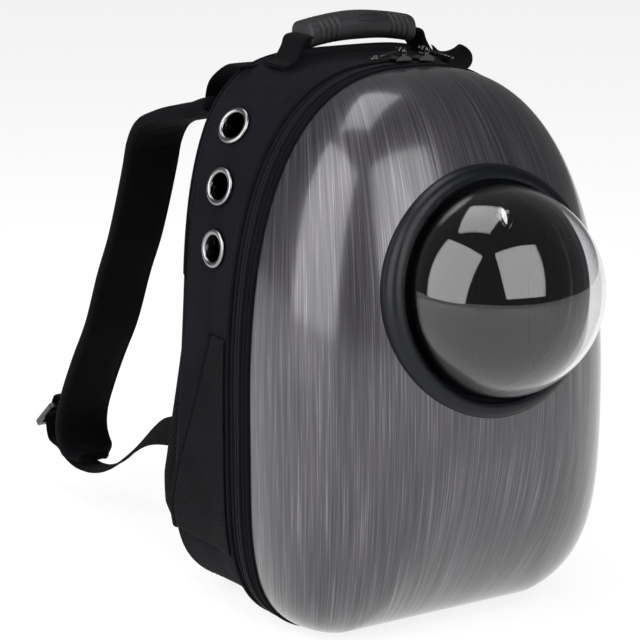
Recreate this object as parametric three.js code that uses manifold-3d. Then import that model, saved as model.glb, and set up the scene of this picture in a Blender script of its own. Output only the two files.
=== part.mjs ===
// Bubble pet carrier backpack: a hard front shell with a clear dome window, a zipped
// cloth bag behind it, a padded back, two shoulder straps and a carrying handle.
// Millimetres. +Z is up, -Y is the front (shell and dome), +X is the right seen from
// the front. The origin is the centre of the flat underside of the bag.
import * as THREE from 'three';
import { mergeVertices } from 'three/addons/utils/BufferGeometryUtils.js';
import Module from 'manifold-3d';

const wasm = await Module();
wasm.setup();

// Main sizes
const GAP = 0.3;                  // left between pieces that touch
const CLOTH = 2;                  // wall of the cloth bag with its foam layer
const SHELL_WALL = 2.2;
const BAG_WIDTH = 275;
const BACK_WIDTH = BAG_WIDTH - 3.4;
const SHELL_HEIGHT = 407.4;
const BACK_HEIGHT = SHELL_HEIGHT + 5.2;
const SHELL_DEPTH = 117;
const RIM_Y = -65;                // plane of the shell's rim
const RIM_PIPING_WIDTH = 5;
const ZIP_BAND_WIDTH = 22;
const SEAM_PIPING_WIDTH = 5;
const PIPING_PROUD = 1.8;         // how far a piping stands out of the side
const COIL_WIDTH = 6;
const COIL_PROUD = 1.6;
const GUSSET_DEPTH = 70;          // cloth side wall, from the seam piping to the back
const BASE_SWELL = 22;            // how much deeper the bag is at its base
const SWELL_TOP = 0.6382 * SHELL_HEIGHT; // height where that extra depth ends
const BACK_EDGE_RADIUS = 6;
const VALLEY_DEPTH = 2.5;         // soft valley down the side of the gusset
const VALLEY_FADE = {              // heights where the valley starts, is full, and ends
  low: 0.147 * SHELL_HEIGHT,
  lowFull: 0.393 * SHELL_HEIGHT,
  highFull: 0.779 * SHELL_HEIGHT,
  high: 0.951 * SHELL_HEIGHT,
};
const TOP_SEAM_X = 0.29 * BAG_WIDTH;      // half length of the gusset's top panel
const BASE_SEAM_Z = 30;                   // height of the seams above the base panel

// Outline powers: 2 is an ellipse, larger is boxier
const FRONT_OUTLINE = { topPower: 2.61, bottomPower: 4.45, waist: 0.39126 * SHELL_HEIGHT };
const BACK_OUTLINE = { topPower: 4.02, bottomPower: 3.6, waist: 0.27872 * BACK_HEIGHT };
const BASE_ROUNDING_SHARE = 0.33; // share of the gusset over which its base corners go round
const BASE_TRIM = 4;              // how much of the round bottom the flat base cuts off
const OUTLINE_STEPS = 36;         // segments around the outline, an even number
const CORNER_WEIGHT = 100;        // draws segments to the corners, in mm per radian
const OUTLINE_SAMPLES = 360;      // fine points from which those segments are chosen

// Shape of the shell's dish
const DISH_POWER = 2.57;
const DISH_CENTRE_Z = 0.554 * SHELL_HEIGHT;
const DISH_SLOPE = 0.11;          // the dish gets shallower towards the top
const DISH_HIGH_CURVE = 0.161;    // and rounds off at its top
const DISH_LOW_CURVE = 0.26;      // and bottom

// Window
const DOME_RADIUS = 75;
const DOME_WALL = 2.5;
const DOME_FLANGE = 4.7;          // how far the flange stands out of the dome
const DOME_FLANGE_THICK = 3.4;
const DOME_BASE = 8.5;            // height of the dome's centre over the ring's seat
const WINDOW_Z = 0.6436 * SHELL_HEIGHT;
const WINDOW_TILT = 10.4;         // degrees, the window looks slightly up
const RING_RADIUS = 88.9;
const RING_HEIGHT = 10.4;
const RING_SLEEVE_DEPTH = 12;
const RING_LIP = 2.4;             // wall of the ring outside the dome's flange
const RING_EDGE = 2.6;            // round of the ring's outer edge
const RING_STEPS = 24;

// Air holes
const GROMMET_RADIUS = 14;
const GROMMET_HOLE = 10;
const GROMMET_BARREL = 11;
const GROMMET_FLANGE = 1.3;
const GROMMET_STEPS = 12;
const GROMMETS = [                // share goes across the gusset, 0 at the seam, 1 at the back
  { height: 0.8959 * SHELL_HEIGHT, share: 0.52 },
  { height: 0.7928 * SHELL_HEIGHT, share: 0.44 },
  { height: 0.6848 * SHELL_HEIGHT, share: 0.38 },
];

// Back pad
const PAD_TOP = BACK_HEIGHT - 20.6;
const PAD_BOTTOM = 43;
const PAD_THICK = 40;
const PAD_EDGE_INSET = 7;
const PAD_CORNER_INSET = 10;      // how far its rounded ends draw in

// Shoulder straps
const STRAP_X = 0.3203 * BACK_WIDTH;
const STRAP_WIDTH = 47;
const STRAP_THICK = 12;
const STRAP_ROOT_Z = BACK_HEIGHT - 36.6;
const STRAP_REACH = 264;
const STRAP_DROP = 0.8345 * SHELL_HEIGHT;
const STRAP_STEPS = 20;
const LIFTER_BOW = 34;            // how far the right load lifter bows out sideways
const LIFTER_REACH = 41;          // how far both reach behind the bag
const LIFTER_FALL = 44;           // and below its top edge
const LIFTER_STEPS = 14;

// Webbing and buckles
const WEBBING_WIDTH = 25;
const WEBBING_THICK = 1.8;
const ANCHOR_X = 0.4345 * BACK_WIDTH;
const ANCHOR_Z = 0.297 * SHELL_HEIGHT;
const BUCKLE_WIDTH = 33;
const BUCKLE_LENGTH = 40;
const BUCKLE_THICK = 4.5;
const BUCKLE_SLOT = 8;
const BUCKLE_BEVEL = 4;
const BUCKLE_TAB_SINK = 2;        // where the buckle's tab is sewn to the strap:
const BUCKLE_TAB_RISE = 52;       // inside its end and above it
const BUCKLE_TILT = -38;          // degrees below level, looking along +X
const BUCKLE_OUT = 40;            // buckle centre behind the strap's end
const BUCKLE_UP = 31;             // and above it

// Handle
const HANDLE_Y = 12;
const GRIP_LENGTH = 92;
const GRIP_WIDTH = 30;
const GRIP_HEIGHT = 20;
const GRIP_CLEARANCE = 9.5;       // hand gap under the middle of the grip
const GRIP_DROOP = 5;             // how far the grip's ends hang below its middle
const HANDLE_WEBBING_THICK = 3;
const HANDLE_WEBBING_WIDTH = 30;
const HANDLE_LANDING = 61;        // where the webbing meets the bag, from the middle
const HANDLE_TAIL = 8;            // length sewn down beyond that
const GRIP_SECTION_STEPS = 10;

// Zip sliders
const SLIDER_X = { left: 0.5, right: 20.5 };
const SLIDER_LENGTH = 13;
const SLIDER_WIDTH = 9;
const SLIDER_HEIGHT = 4.5;
const PIN_RADIUS = 0.9;
const EYE_CLEARANCE = 0.5;
const EYE_WALL = 1.1;
const PIN_HEIGHT = 3.6;           // pin centre above the slider's top
const PULL_WIDTH = 4;
const PULL_THICK = 1.8;
const PULL_LENGTH = 27;
const PULL_RING_RADIUS = 4.6;
const PULL_RING_HOLE = 2.6;
const PULL_DIP = { left: 9, right: 18 };   // degrees that a resting pull points down

// Side pockets
const POCKET_BOTTOM = 0.13 * SHELL_HEIGHT;
const POCKET_TOP = 0.5326 * SHELL_HEIGHT;
const POCKET_WALL = 1.2;
const POCKET_BULGE = 3.5;
const BINDING_WIDTH = 6;
const BINDING_THICK = 2.4;

// Places along Y that follow from the widths above
const RIM_PIPING_Y = RIM_Y + GAP;
const ZIP_BAND_Y = RIM_PIPING_Y + RIM_PIPING_WIDTH + GAP;
const SEAM_PIPING_Y = ZIP_BAND_Y + ZIP_BAND_WIDTH + GAP;
const GUSSET_Y = SEAM_PIPING_Y + SEAM_PIPING_WIDTH + GAP;
const BACK_Y = GUSSET_Y + GUSSET_DEPTH;
const COIL_Y = ZIP_BAND_Y + ZIP_BAND_WIDTH / 2;

const rad = THREE.MathUtils.degToRad;
const lerp = THREE.MathUtils.lerp;
const vec = (x, y, z) => new THREE.Vector3(x, y, z);
const SIDES = { left: -1, right: 1 };

// Materials, from the photograph
const paint = (color, roughness, metalness = 0) =>
  new THREE.MeshStandardMaterial({ color, roughness, metalness });
const MATERIALS = {
  shell: paint(0x5c5960, 0.25, 0.4),
  ring: paint(0x16181c, 0.35),
  dome: new THREE.MeshStandardMaterial({ color: 0xdde0e4, roughness: 0.05, transparent: true, opacity: 0.35 }),
  cloth: paint(0x1f1f24, 0.85),
  mesh: paint(0x17171a, 0.9),
  zip: paint(0x101013, 0.6),
  webbing: paint(0x141416, 0.8),
  rubber: paint(0x1c1e21, 0.55),
  plastic: paint(0x0e0e10, 0.35),
  steel: paint(0xa8a9ad, 0.25, 1),
};

// Closed meshes from rings of points
function solidFrom(points, faces) {
  const geometry = new THREE.BufferGeometry();
  const flat = points.flatMap((p) => [p.x, p.y, p.z]);
  geometry.setAttribute('position', new THREE.Float32BufferAttribute(flat, 3));
  geometry.setIndex(faces.flat());
  return facingOut(geometry);
}

function facingOut(geometry) {
  const place = geometry.getAttribute('position');
  const index = Array.from(geometry.index.array);
  const corner = [vec(0, 0, 0), vec(0, 0, 0), vec(0, 0, 0)];
  let volume = 0;
  for (let i = 0; i < index.length; i += 3) {
    corner.forEach((c, k) => c.fromBufferAttribute(place, index[i + k]));
    volume += corner[0].dot(corner[1].clone().cross(corner[2]));
  }
  if (volume < 0) {
    for (let i = 0; i < index.length; i += 3) {
      [index[i + 1], index[i + 2]] = [index[i + 2], index[i + 1]];
    }
    geometry.setIndex(index);
  }
  return geometry;
}

function centreOf(ring) {
  const sum = ring.reduce((total, p) => total.add(p), vec(0, 0, 0));
  return sum.divideScalar(ring.length);
}

// Faces between two rings, each quad split along its shorter diagonal
function stitchRings(points, faces, from, to, count) {
  for (let i = 0; i < count; i += 1) {
    const next = (i + 1) % count;
    const [a, b, c, d] = [from + i, from + next, to + next, to + i];
    const shorter = points[a].distanceTo(points[c]) <= points[b].distanceTo(points[d]) + GAP / 100;
    if (shorter) faces.push([a, b, c], [a, c, d]);
    else faces.push([a, b, d], [b, c, d]);
  }
}

// A skin through rings of equal count, closed at both ends by a fan of faces
function loft(rings, startCentre = centreOf(rings[0]), endCentre = centreOf(rings.at(-1))) {
  const count = rings[0].length;
  const points = rings.flat();
  const faces = [];
  for (let r = 0; r + 1 < rings.length; r += 1) {
    stitchRings(points, faces, r * count, (r + 1) * count, count);
  }
  const start = points.push(startCentre) - 1;
  const end = points.push(endCentre) - 1;
  const last = (rings.length - 1) * count;
  for (let i = 0; i < count; i += 1) {
    const next = (i + 1) % count;
    faces.push([start, next, i], [end, last + i, last + next]);
  }
  return solidFrom(points, faces);
}

// A skin through rings that comes back to the first ring, like a hoop
function hoop(rings) {
  const count = rings[0].length;
  const points = rings.flat();
  const faces = [];
  rings.forEach((ring, r) => {
    stitchRings(points, faces, r * count, ((r + 1) % rings.length) * count, count);
  });
  return solidFrom(points, faces);
}

// A closed slab from two grids of points with the same rows and columns
function slab(front, back) {
  const rows = front.length;
  const columns = front[0].length;
  const points = [...front.flat(), ...back.flat()];
  const far = rows * columns;
  const faces = [];
  const quad = (a, b, c, d) => faces.push([a, b, c], [a, c, d]);
  for (let r = 0; r + 1 < rows; r += 1) {
    for (let c = 0; c + 1 < columns; c += 1) {
      const k = r * columns + c;
      quad(k, k + 1, k + columns + 1, k + columns);
      quad(far + k, far + k + columns, far + k + columns + 1, far + k + 1);
    }
  }
  for (let c = 0; c + 1 < columns; c += 1) {
    const top = (rows - 1) * columns + c;
    quad(c + 1, c, far + c, far + c + 1);
    quad(top, top + 1, far + top + 1, far + top);
  }
  for (let r = 0; r + 1 < rows; r += 1) {
    const low = r * columns;
    const right = low + columns - 1;
    quad(low, low + columns, far + low + columns, far + low);
    quad(right + columns, right, far + right, far + right + columns);
  }
  return solidFrom(points, faces);
}

// Shared corners only, with the faces that collapsed to a line left out
function merged(geometry) {
  geometry.deleteAttribute('normal');
  geometry.deleteAttribute('uv');
  const joined = mergeVertices(geometry, 1e-4);
  const index = joined.index.array;
  const kept = [];
  for (let i = 0; i < index.length; i += 3) {
    const [a, b, c] = [index[i], index[i + 1], index[i + 2]];
    if (a !== b && b !== c && a !== c) kept.push(a, b, c);
  }
  joined.setIndex(kept);
  return facingOut(joined);
}

// Cuts and joins
function toSolid(geometry) {
  const vertProperties = new Float32Array(geometry.getAttribute('position').array);
  const triVerts = new Uint32Array(geometry.index.array);
  return new wasm.Manifold(new wasm.Mesh({ numProp: 3, vertProperties, triVerts }));
}

function toGeometry(solid) {
  const mesh = solid.getMesh();
  const geometry = new THREE.BufferGeometry();
  geometry.setAttribute('position', new THREE.BufferAttribute(mesh.vertProperties, 3));
  geometry.setIndex(Array.from(mesh.triVerts));
  return geometry;
}

function common(geometry, tool) {
  return toGeometry(toSolid(geometry).intersect(toSolid(tool)));
}

function cut(geometry, ...tools) {
  const left = tools.reduce((solid, tool) => solid.subtract(toSolid(tool)), toSolid(geometry));
  return toGeometry(left);
}

function join(...geometries) {
  const whole = geometries.slice(1).reduce((solid, g) => solid.add(toSolid(g)), toSolid(geometries[0]));
  return toGeometry(whole);
}

// Keeps only the largest body of a cut piece
function largest(geometry) {
  const bodies = toSolid(geometry).decompose();
  bodies.sort((a, b) => b.volume() - a.volume());
  return toGeometry(bodies[0]);
}

function lathe(profile, steps) {
  const points = profile.map(([radius, height]) => new THREE.Vector2(radius, height));
  return merged(new THREE.LatheGeometry(points, steps));
}

function closedProfile(profile) {
  return [...profile, profile[0]];
}

function cylinder(radius, length, steps) {
  return merged(new THREE.CylinderGeometry(radius, radius, length, steps));
}

function boxAt(width, depth, height, x, y, z) {
  return merged(new THREE.BoxGeometry(width, depth, height)).translate(x, y, z);
}

// Turns a piece made about +Y so that +Y points along a direction, and moves it
function aim(geometry, direction, centre) {
  const turn = new THREE.Quaternion().setFromUnitVectors(vec(0, 1, 0), direction.clone().normalize());
  return geometry.applyQuaternion(turn).translate(centre.x, centre.y, centre.z);
}

// The bag's outline at a share of the way from the shell's rim (0) to the back (1)
function outlineShape(share) {
  const rounded = Math.min(1, share / BASE_ROUNDING_SHARE);
  return {
    half: lerp(BAG_WIDTH, BACK_WIDTH, share) / 2,
    top: lerp(SHELL_HEIGHT, BACK_HEIGHT, share),
    topPower: lerp(FRONT_OUTLINE.topPower, BACK_OUTLINE.topPower, share),
    bottomPower: lerp(FRONT_OUTLINE.bottomPower, BACK_OUTLINE.bottomPower, rounded),
    waist: lerp(FRONT_OUTLINE.waist, BACK_OUTLINE.waist, share),
  };
}

function halfOutline(share) {
  const { half, top, topPower, bottomPower, waist } = outlineShape(share);
  const fine = [];
  const samples = OUTLINE_SAMPLES;
  for (let i = 0; i <= samples; i += 1) {
    const angle = -Math.PI / 2 + (Math.PI * i) / samples;
    const across = Math.max(0, Math.cos(angle));
    const rise = Math.abs(Math.sin(angle));
    const power = angle > 0 ? topPower : bottomPower;
    const x = half * across ** (2 / power);
    const reach = angle > 0 ? top - waist : -(waist + BASE_TRIM);
    const z = Math.max(0, waist + reach * rise ** (2 / power));
    fine.push(new THREE.Vector2(x, z));
  }
  const weight = [0];
  for (let i = 1; i <= samples; i += 1) {
    const step = fine[i].clone().sub(fine[i - 1]);
    const after = i < samples ? fine[i + 1].clone().sub(fine[i]) : step;
    const turn = step.length() > 0 && after.length() > 0 ? Math.abs(after.angle() - step.angle()) : 0;
    const bend = Math.min(turn, 2 * Math.PI - turn);
    weight.push(weight[i - 1] + step.length() + CORNER_WEIGHT * bend);
  }
  const count = OUTLINE_STEPS / 2;
  const chosen = [];
  let k = 0;
  for (let i = 0; i <= count; i += 1) {
    const goal = (weight[samples] * i) / count;
    while (k < samples - 1 && weight[k + 1] < goal) k += 1;
    const part = (goal - weight[k]) / Math.max(1e-9, weight[k + 1] - weight[k]);
    chosen.push(fine[k].clone().lerp(fine[k + 1], Math.min(1, Math.max(0, part))));
  }
  return chosen;
}

const outlineCache = new Map();
function outline(share) {
  if (!outlineCache.has(share)) {
    const right = halfOutline(share);
    right[0].x = 0;
    right.at(-1).x = 0;
    const left = right.slice(1, -1).reverse().map((p) => new THREE.Vector2(-p.x, p.y));
    outlineCache.set(share, [...right, ...left]);
  }
  return outlineCache.get(share);
}

// The outline moved out by some amount, but never below the base plane
function grownOutline(share, grow) {
  const base = outline(share);
  return base.map((p, i) => {
    const before = base[(i + base.length - 1) % base.length];
    const after = base[(i + 1) % base.length];
    const along = after.clone().sub(before).normalize();
    const z = p.y - along.x * grow;
    return new THREE.Vector2(p.x + along.y * grow, Math.max(0, z));
  });
}

function ringAt(share, grow, yOf) {
  return grownOutline(share, grow).map((p) => vec(p.x, yOf(p.y), p.y));
}

// Extra depth of the bag's back near its base
function swell(z) {
  const part = THREE.MathUtils.smoothstep(z, 0, SWELL_TOP);
  return BASE_SWELL * (1 - part);
}

function gussetY(share, z) {
  return lerp(GUSSET_Y, BACK_Y + swell(z), share);
}

// Half width of the bag at a share of the way back and a height
function sideX(share, z) {
  const half = outline(share).slice(0, OUTLINE_STEPS / 2 + 1);
  const beyond = half.findIndex((p, i) => i > 0 && p.y >= z);
  if (beyond < 0) return 0;
  const [low, high] = [half[beyond - 1], half[beyond]];
  const part = high.y === low.y ? 0 : (z - low.y) / (high.y - low.y);
  return lerp(low.x, high.x, part);
}

function topZ(share, x) {
  const half = outline(share).slice(0, OUTLINE_STEPS / 2 + 1);
  const start = half.findIndex((p) => p.y > outlineShape(share).waist);
  for (let i = start; i + 1 < half.length; i += 1) {
    const [low, high] = [half[i], half[i + 1]];
    if (low.x >= x && high.x <= x) return lerp(low.y, high.y, (low.x - x) / (low.x - high.x));
  }
  return half.at(-1).y;
}

// Front shell
function dishDepth(share, z) {
  const round = Math.max(0, 1 - share ** DISH_POWER) ** (1 / DISH_POWER);
  const u = (2 * z) / SHELL_HEIGHT - 1;
  const curve = u > 0 ? DISH_HIGH_CURVE : DISH_LOW_CURVE;
  return SHELL_DEPTH * round * (1 - DISH_SLOPE * u - curve * u * u);
}

const DISH_SHARES = [1, 0.992, 0.965, 0.92, 0.85, 0.75, 0.62, 0.42];
const INNER_DISH_SHARES = [1, 0.975, 0.91, 0.79, 0.58];

function dishRings(grow, shares) {
  const rim = grownOutline(0, grow);
  return shares.map((share) => rim.map((p) => {
    const x = p.x * share;
    const z = lerp(DISH_CENTRE_Z, p.y, share);
    return vec(x, RIM_Y - dishDepth(share, z) * (1 + grow / SHELL_DEPTH), z);
  }));
}

function dishCentre(grow) {
  const depth = dishDepth(0, DISH_CENTRE_Z) * (1 + grow / SHELL_DEPTH);
  return vec(0, RIM_Y - depth, DISH_CENTRE_Z);
}

function dishBlank(grow) {
  const back = grownOutline(0, grow).map((p) => vec(p.x, RIM_Y, p.y));
  return loft([back, ...dishRings(grow, DISH_SHARES.slice(1))], undefined, dishCentre(grow));
}

// Height of the shell's surface over the window's plane, at points around the ring
function windowPlane() {
  const tilt = rad(WINDOW_TILT);
  const normal = vec(0, -Math.cos(tilt), Math.sin(tilt));
  const up = vec(0, Math.sin(tilt), Math.cos(tilt));
  const flat = vec(0, 0, WINDOW_Z);
  const lifts = [];
  for (let i = 0; i < RING_STEPS; i += 1) {
    const angle = (2 * Math.PI * i) / RING_STEPS;
    const p = flat.clone().addScaledVector(up, RING_RADIUS * Math.sin(angle));
    p.x = RING_RADIUS * Math.cos(angle);
    lifts.push(dishSurfaceY(p.x, p.z) - p.y);
  }
  const mean = lifts.reduce((a, b) => a + b, 0) / lifts.length;
  const spread = Math.max(...lifts) - mean;
  return { normal, centre: vec(0, mean, WINDOW_Z), skirt: spread + SHELL_WALL };
}

function dishSurfaceY(x, z) {
  const rim = outline(0);
  const angle = Math.atan2(z - DISH_CENTRE_Z, Math.abs(x));
  const edge = rim.slice(0, OUTLINE_STEPS / 2 + 1).map((p) => ({
    angle: Math.atan2(p.y - DISH_CENTRE_Z, p.x),
    radius: Math.hypot(p.x, p.y - DISH_CENTRE_Z),
  }));
  const k = Math.max(1, edge.findIndex((e) => e.angle >= angle - 1e-9));
  const part = (angle - edge[k - 1].angle) / (edge[k].angle - edge[k - 1].angle);
  const radius = lerp(edge[k - 1].radius, edge[k].radius, part);
  const share = Math.hypot(x, z - DISH_CENTRE_Z) / radius;
  return RIM_Y - dishDepth(share, z);
}

const WINDOW = windowPlane();
const FLANGE_RADIUS = DOME_RADIUS + DOME_FLANGE;
const SLEEVE_RADIUS = FLANGE_RADIUS + GAP + RING_LIP;
const FLANGE_BASE = 1 + GAP;

function onWindow(geometry) {
  return aim(geometry, WINDOW.normal, WINDOW.centre);
}

function frontShell() {
  const inner = dishRings(-SHELL_WALL, INNER_DISH_SHARES).reverse();
  const outer = dishRings(0, DISH_SHARES);
  const whole = loft([...inner, ...outer], dishCentre(-SHELL_WALL), dishCentre(0));
  return cut(whole, onWindow(cylinder(SLEEVE_RADIUS + GAP, 4 * DOME_RADIUS, RING_STEPS)));
}

function windowRing() {
  const bore = DOME_RADIUS + GAP;
  const groove = FLANGE_RADIUS + GAP;
  const ledge = DOME_RADIUS - DOME_WALL;
  const grooveTop = FLANGE_BASE + DOME_FLANGE_THICK + GAP;
  const shoulder = RING_HEIGHT * 0.3;
  const blank = lathe(closedProfile([
    [ledge, -RING_SLEEVE_DEPTH],
    [SLEEVE_RADIUS, -RING_SLEEVE_DEPTH],
    [SLEEVE_RADIUS, -WINDOW.skirt],
    [RING_RADIUS, -WINDOW.skirt],
    [RING_RADIUS, shoulder],
    [RING_RADIUS - RING_EDGE, RING_HEIGHT * 0.82],
    [lerp(bore, RING_RADIUS, 0.4), RING_HEIGHT],
    [bore, grooveTop],
    [groove, grooveTop],
    [groove, FLANGE_BASE - GAP],
    [ledge, FLANGE_BASE - GAP],
  ]), RING_STEPS);
  const core = cylinder(SLEEVE_RADIUS, 6 * DOME_RADIUS, RING_STEPS);
  const seat = cut(dishBlank(GAP), onWindow(core));
  return cut(onWindow(blank), seat);
}

function windowDome() {
  const inner = DOME_RADIUS - DOME_WALL;
  const arc = (radius, steps) => Array.from({ length: steps + 1 }, (_, i) => {
    const angle = (Math.PI / 2) * (i / steps);
    return [radius * Math.sin(angle), DOME_BASE + radius * Math.cos(angle)];
  });
  const outside = arc(DOME_RADIUS, 7);
  const inside = arc(inner, 5).reverse();
  const flangeTop = FLANGE_BASE + DOME_FLANGE_THICK;
  return onWindow(lathe([
    ...outside,
    [DOME_RADIUS, flangeTop],
    [FLANGE_RADIUS, flangeTop],
    [FLANGE_RADIUS, FLANGE_BASE],
    [inner, FLANGE_BASE],
    ...inside,
  ], RING_STEPS));
}

// Bands between the shell and the bag, as hoops with a section of [across, proud] points
function band(startY, section) {
  return hoop(section.map(([across, proud]) => ringAt(0, proud, () => startY + across)));
}

function piping(startY, width) {
  const shoulder = PIPING_PROUD / 3;
  return band(startY, [
    [0, -CLOTH],
    [0, shoulder],
    [width / 2, PIPING_PROUD],
    [width, shoulder],
    [width, -CLOTH],
  ]);
}

function zipBand() {
  const low = (ZIP_BAND_WIDTH - COIL_WIDTH) / 2;
  const slant = 1.2;
  return band(ZIP_BAND_Y, [
    [0, -CLOTH],
    [0, 0],
    [low - slant, 0],
    [low, COIL_PROUD],
    [low + COIL_WIDTH, COIL_PROUD],
    [low + COIL_WIDTH + slant, 0],
    [ZIP_BAND_WIDTH, 0],
    [ZIP_BAND_WIDTH, -CLOTH],
  ]);
}

// Cloth bag, open to the front: a gusset of four panels, and the back
const GUSSET_STATIONS = [
  { share: 0, dent: 0 },
  { share: 0.38, dent: 1 },
  { share: 0.55, dent: 0.35 },
  { share: 0.78, dent: 0 },
];
const BACK_CORNER = {
  outer: [
    { inset: 0, forward: BACK_EDGE_RADIUS },
    { inset: 0.3 * BACK_EDGE_RADIUS, forward: 0.3 * BACK_EDGE_RADIUS },
    { inset: BACK_EDGE_RADIUS, forward: 0 },
  ],
  inner: [
    { inset: CLOTH, forward: BACK_EDGE_RADIUS },
    { inset: BACK_EDGE_RADIUS, forward: CLOTH },
  ],
};
const BACK_SHARES = { outer: [0.7, 0.35], inner: [0.5] };

// The valley runs down the sides only, fading out at the base and over the top
function valley(z) {
  const rise = THREE.MathUtils.smoothstep(z, VALLEY_FADE.low, VALLEY_FADE.lowFull);
  const fall = 1 - THREE.MathUtils.smoothstep(z, VALLEY_FADE.highFull, VALLEY_FADE.high);
  return VALLEY_DEPTH * rise * fall;
}

function gussetRings(grow) {
  const walls = GUSSET_STATIONS.map(({ share, dent }) => {
    const still = ringAt(share, grow, (z) => gussetY(share, z));
    const dented = ringAt(share, grow - 1, (z) => gussetY(share, z));
    return still.map((p, i) => p.lerp(dented[i], dent * valley(p.z)));
  });
  const seam = ringAt(1, grow, (z) => gussetY(1, z) - BACK_EDGE_RADIUS - GAP);
  return [...walls, seam];
}

// One face of the back: its round corner, then rings in towards its middle
function backSkin(face, grow = 0) {
  const corner = BACK_CORNER[face];
  const rings = corner.map(({ inset, forward }) =>
    ringAt(1, grow - inset, (z) => gussetY(1, z) + grow - forward));
  const depth = grow - corner.at(-1).forward;
  const middle = BACK_HEIGHT / 2;
  const flat = BACK_SHARES[face].map((share) => rings.at(-1).map((p) => {
    const z = lerp(middle, p.z, share);
    return vec(p.x * share, gussetY(1, z) + depth, z);
  }));
  return { rings: [...rings, ...flat], centre: vec(0, gussetY(1, middle) + depth, middle) };
}

function bagBack() {
  const outer = backSkin('outer');
  const inner = backSkin('inner');
  return loft([...inner.rings.reverse(), ...outer.rings], inner.centre, outer.centre);
}

function bagBlank(grow) {
  const back = backSkin('outer', grow);
  return loft([...gussetRings(grow), ...back.rings], undefined, back.centre);
}

// Centre and direction of an air hole, from the slope of the gusset around it
function grommetPlace({ height, share }, side) {
  const onSide = (s, z) => vec(sideX(s, z), gussetY(s, z), z);
  const near = GROMMET_RADIUS / 2;
  const nearShare = near / GUSSET_DEPTH;
  const up = onSide(share, height + near).sub(onSide(share, height - near));
  const back = onSide(share + nearShare, height).sub(onSide(share - nearShare, height));
  const normal = back.cross(up).normalize();
  const centre = onSide(share, height);
  centre.x *= side;
  return { centre, normal: vec(side * normal.x, normal.y, normal.z) };
}

function gusset() {
  return hoop([...gussetRings(0), ...gussetRings(-CLOTH).reverse()]);
}

function sidePanel(side) {
  const length = BAG_WIDTH;
  const low = BASE_SEAM_Z + GAP / 2;
  const near = TOP_SEAM_X + GAP / 2;
  const region = boxAt(length, 4 * GUSSET_DEPTH, BACK_HEIGHT, side * (near + length / 2), 0, low + BACK_HEIGHT / 2);
  const holes = GROMMETS.map((row) => {
    const { centre, normal } = grommetPlace(row, side);
    return aim(cylinder(GROMMET_BARREL + GAP, 2 * GROMMET_RADIUS, GROMMET_STEPS), normal, centre);
  });
  return cut(common(gusset(), region), ...holes);
}

function topPanel() {
  const width = 2 * TOP_SEAM_X - GAP;
  return common(gusset(), boxAt(width, 4 * GUSSET_DEPTH, BACK_HEIGHT, 0, 0, BACK_HEIGHT));
}

function basePanel() {
  const height = 2 * BASE_SEAM_Z - GAP;
  return common(gusset(), boxAt(2 * BAG_WIDTH, 4 * GUSSET_DEPTH, height, 0, 0, 0));
}

function grommet(row, side) {
  const { centre, normal } = grommetPlace(row, side);
  const face = GAP * 2;
  const back = -(CLOTH + 3 * GAP + VALLEY_DEPTH);
  const profile = closedProfile([
    [GROMMET_HOLE, back - GROMMET_FLANGE],
    [GROMMET_RADIUS - 1, back],
    [GROMMET_BARREL, back],
    [GROMMET_BARREL, face],
    [GROMMET_RADIUS, face],
    [GROMMET_RADIUS - 1.6, face + GROMMET_FLANGE],
    [GROMMET_HOLE, face + 0.5],
  ]);
  return aim(lathe(profile, GROMMET_STEPS), normal, centre);
}

// Back pad: thick at the lower back and thin at the top, as shares of its height and thickness
const PAD_ROWS = [
  { height: 0, thick: 0.36, inset: 0.5 },
  { height: 0.02, thick: 0.68, inset: 0.1 },
  { height: 0.06, thick: 0.97, inset: 0 },
  { height: 0.12, thick: 1, inset: 0 },
  { height: 0.25, thick: 0.73, inset: 0 },
  { height: 0.38, thick: 0.42, inset: 0 },
  { height: 0.47, thick: 0.22, inset: 0 },
  { height: 0.7, thick: 0.14, inset: 0 },
  { height: 0.95, thick: 0.13, inset: 0 },
  { height: 1, thick: 0.07, inset: 0.2 },
];
const PAD_COLUMNS = [
  { across: -1, thick: 0.62 },
  { across: -0.96, thick: 0.88 },
  { across: -0.5, thick: 1 },
  { across: 0, thick: 0.93 },
  { across: 0.5, thick: 1 },
  { across: 0.96, thick: 0.88 },
  { across: 1, thick: 0.62 },
];

function backPadBlank(grow) {
  const sink = BACK_EDGE_RADIUS;
  const place = (row, column, rear) => {
    const z = lerp(PAD_BOTTOM - grow, PAD_TOP + grow, row.height);
    const half = sideX(1, z) - PAD_EDGE_INSET - PAD_CORNER_INSET * row.inset + grow;
    const lift = rear ? PAD_THICK * row.thick * column.thick + grow : -sink;
    return vec(half * column.across, gussetY(1, z) + lift, z);
  };
  const sheet = (rear) => PAD_ROWS.map((row) => PAD_COLUMNS.map((column) => place(row, column, rear)));
  return slab(sheet(false), sheet(true));
}

// A strip swept along a smooth path, with its width held to given side directions
function strip(path, sides, steps, section) {
  const curve = new THREE.CatmullRomCurve3(path, false, 'centripetal');
  const turns = new THREE.CatmullRomCurve3(sides, false, 'centripetal');
  const rings = [];
  for (let i = 0; i <= steps; i += 1) {
    const t = i / steps;
    const centre = curve.getPoint(t);
    const along = curve.getTangent(t);
    const side = turns.getPoint(t);
    side.addScaledVector(along, -side.dot(along)).normalize();
    const face = along.clone().cross(side);
    rings.push(section(t).map(([a, b]) => centre.clone().addScaledVector(side, a).addScaledVector(face, b)));
  }
  return loft(rings);
}

function flatSection(width, thick) {
  return [
    [-width / 2, -thick / 2],
    [width / 2, -thick / 2],
    [width / 2, thick / 2],
    [-width / 2, thick / 2],
  ];
}

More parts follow.
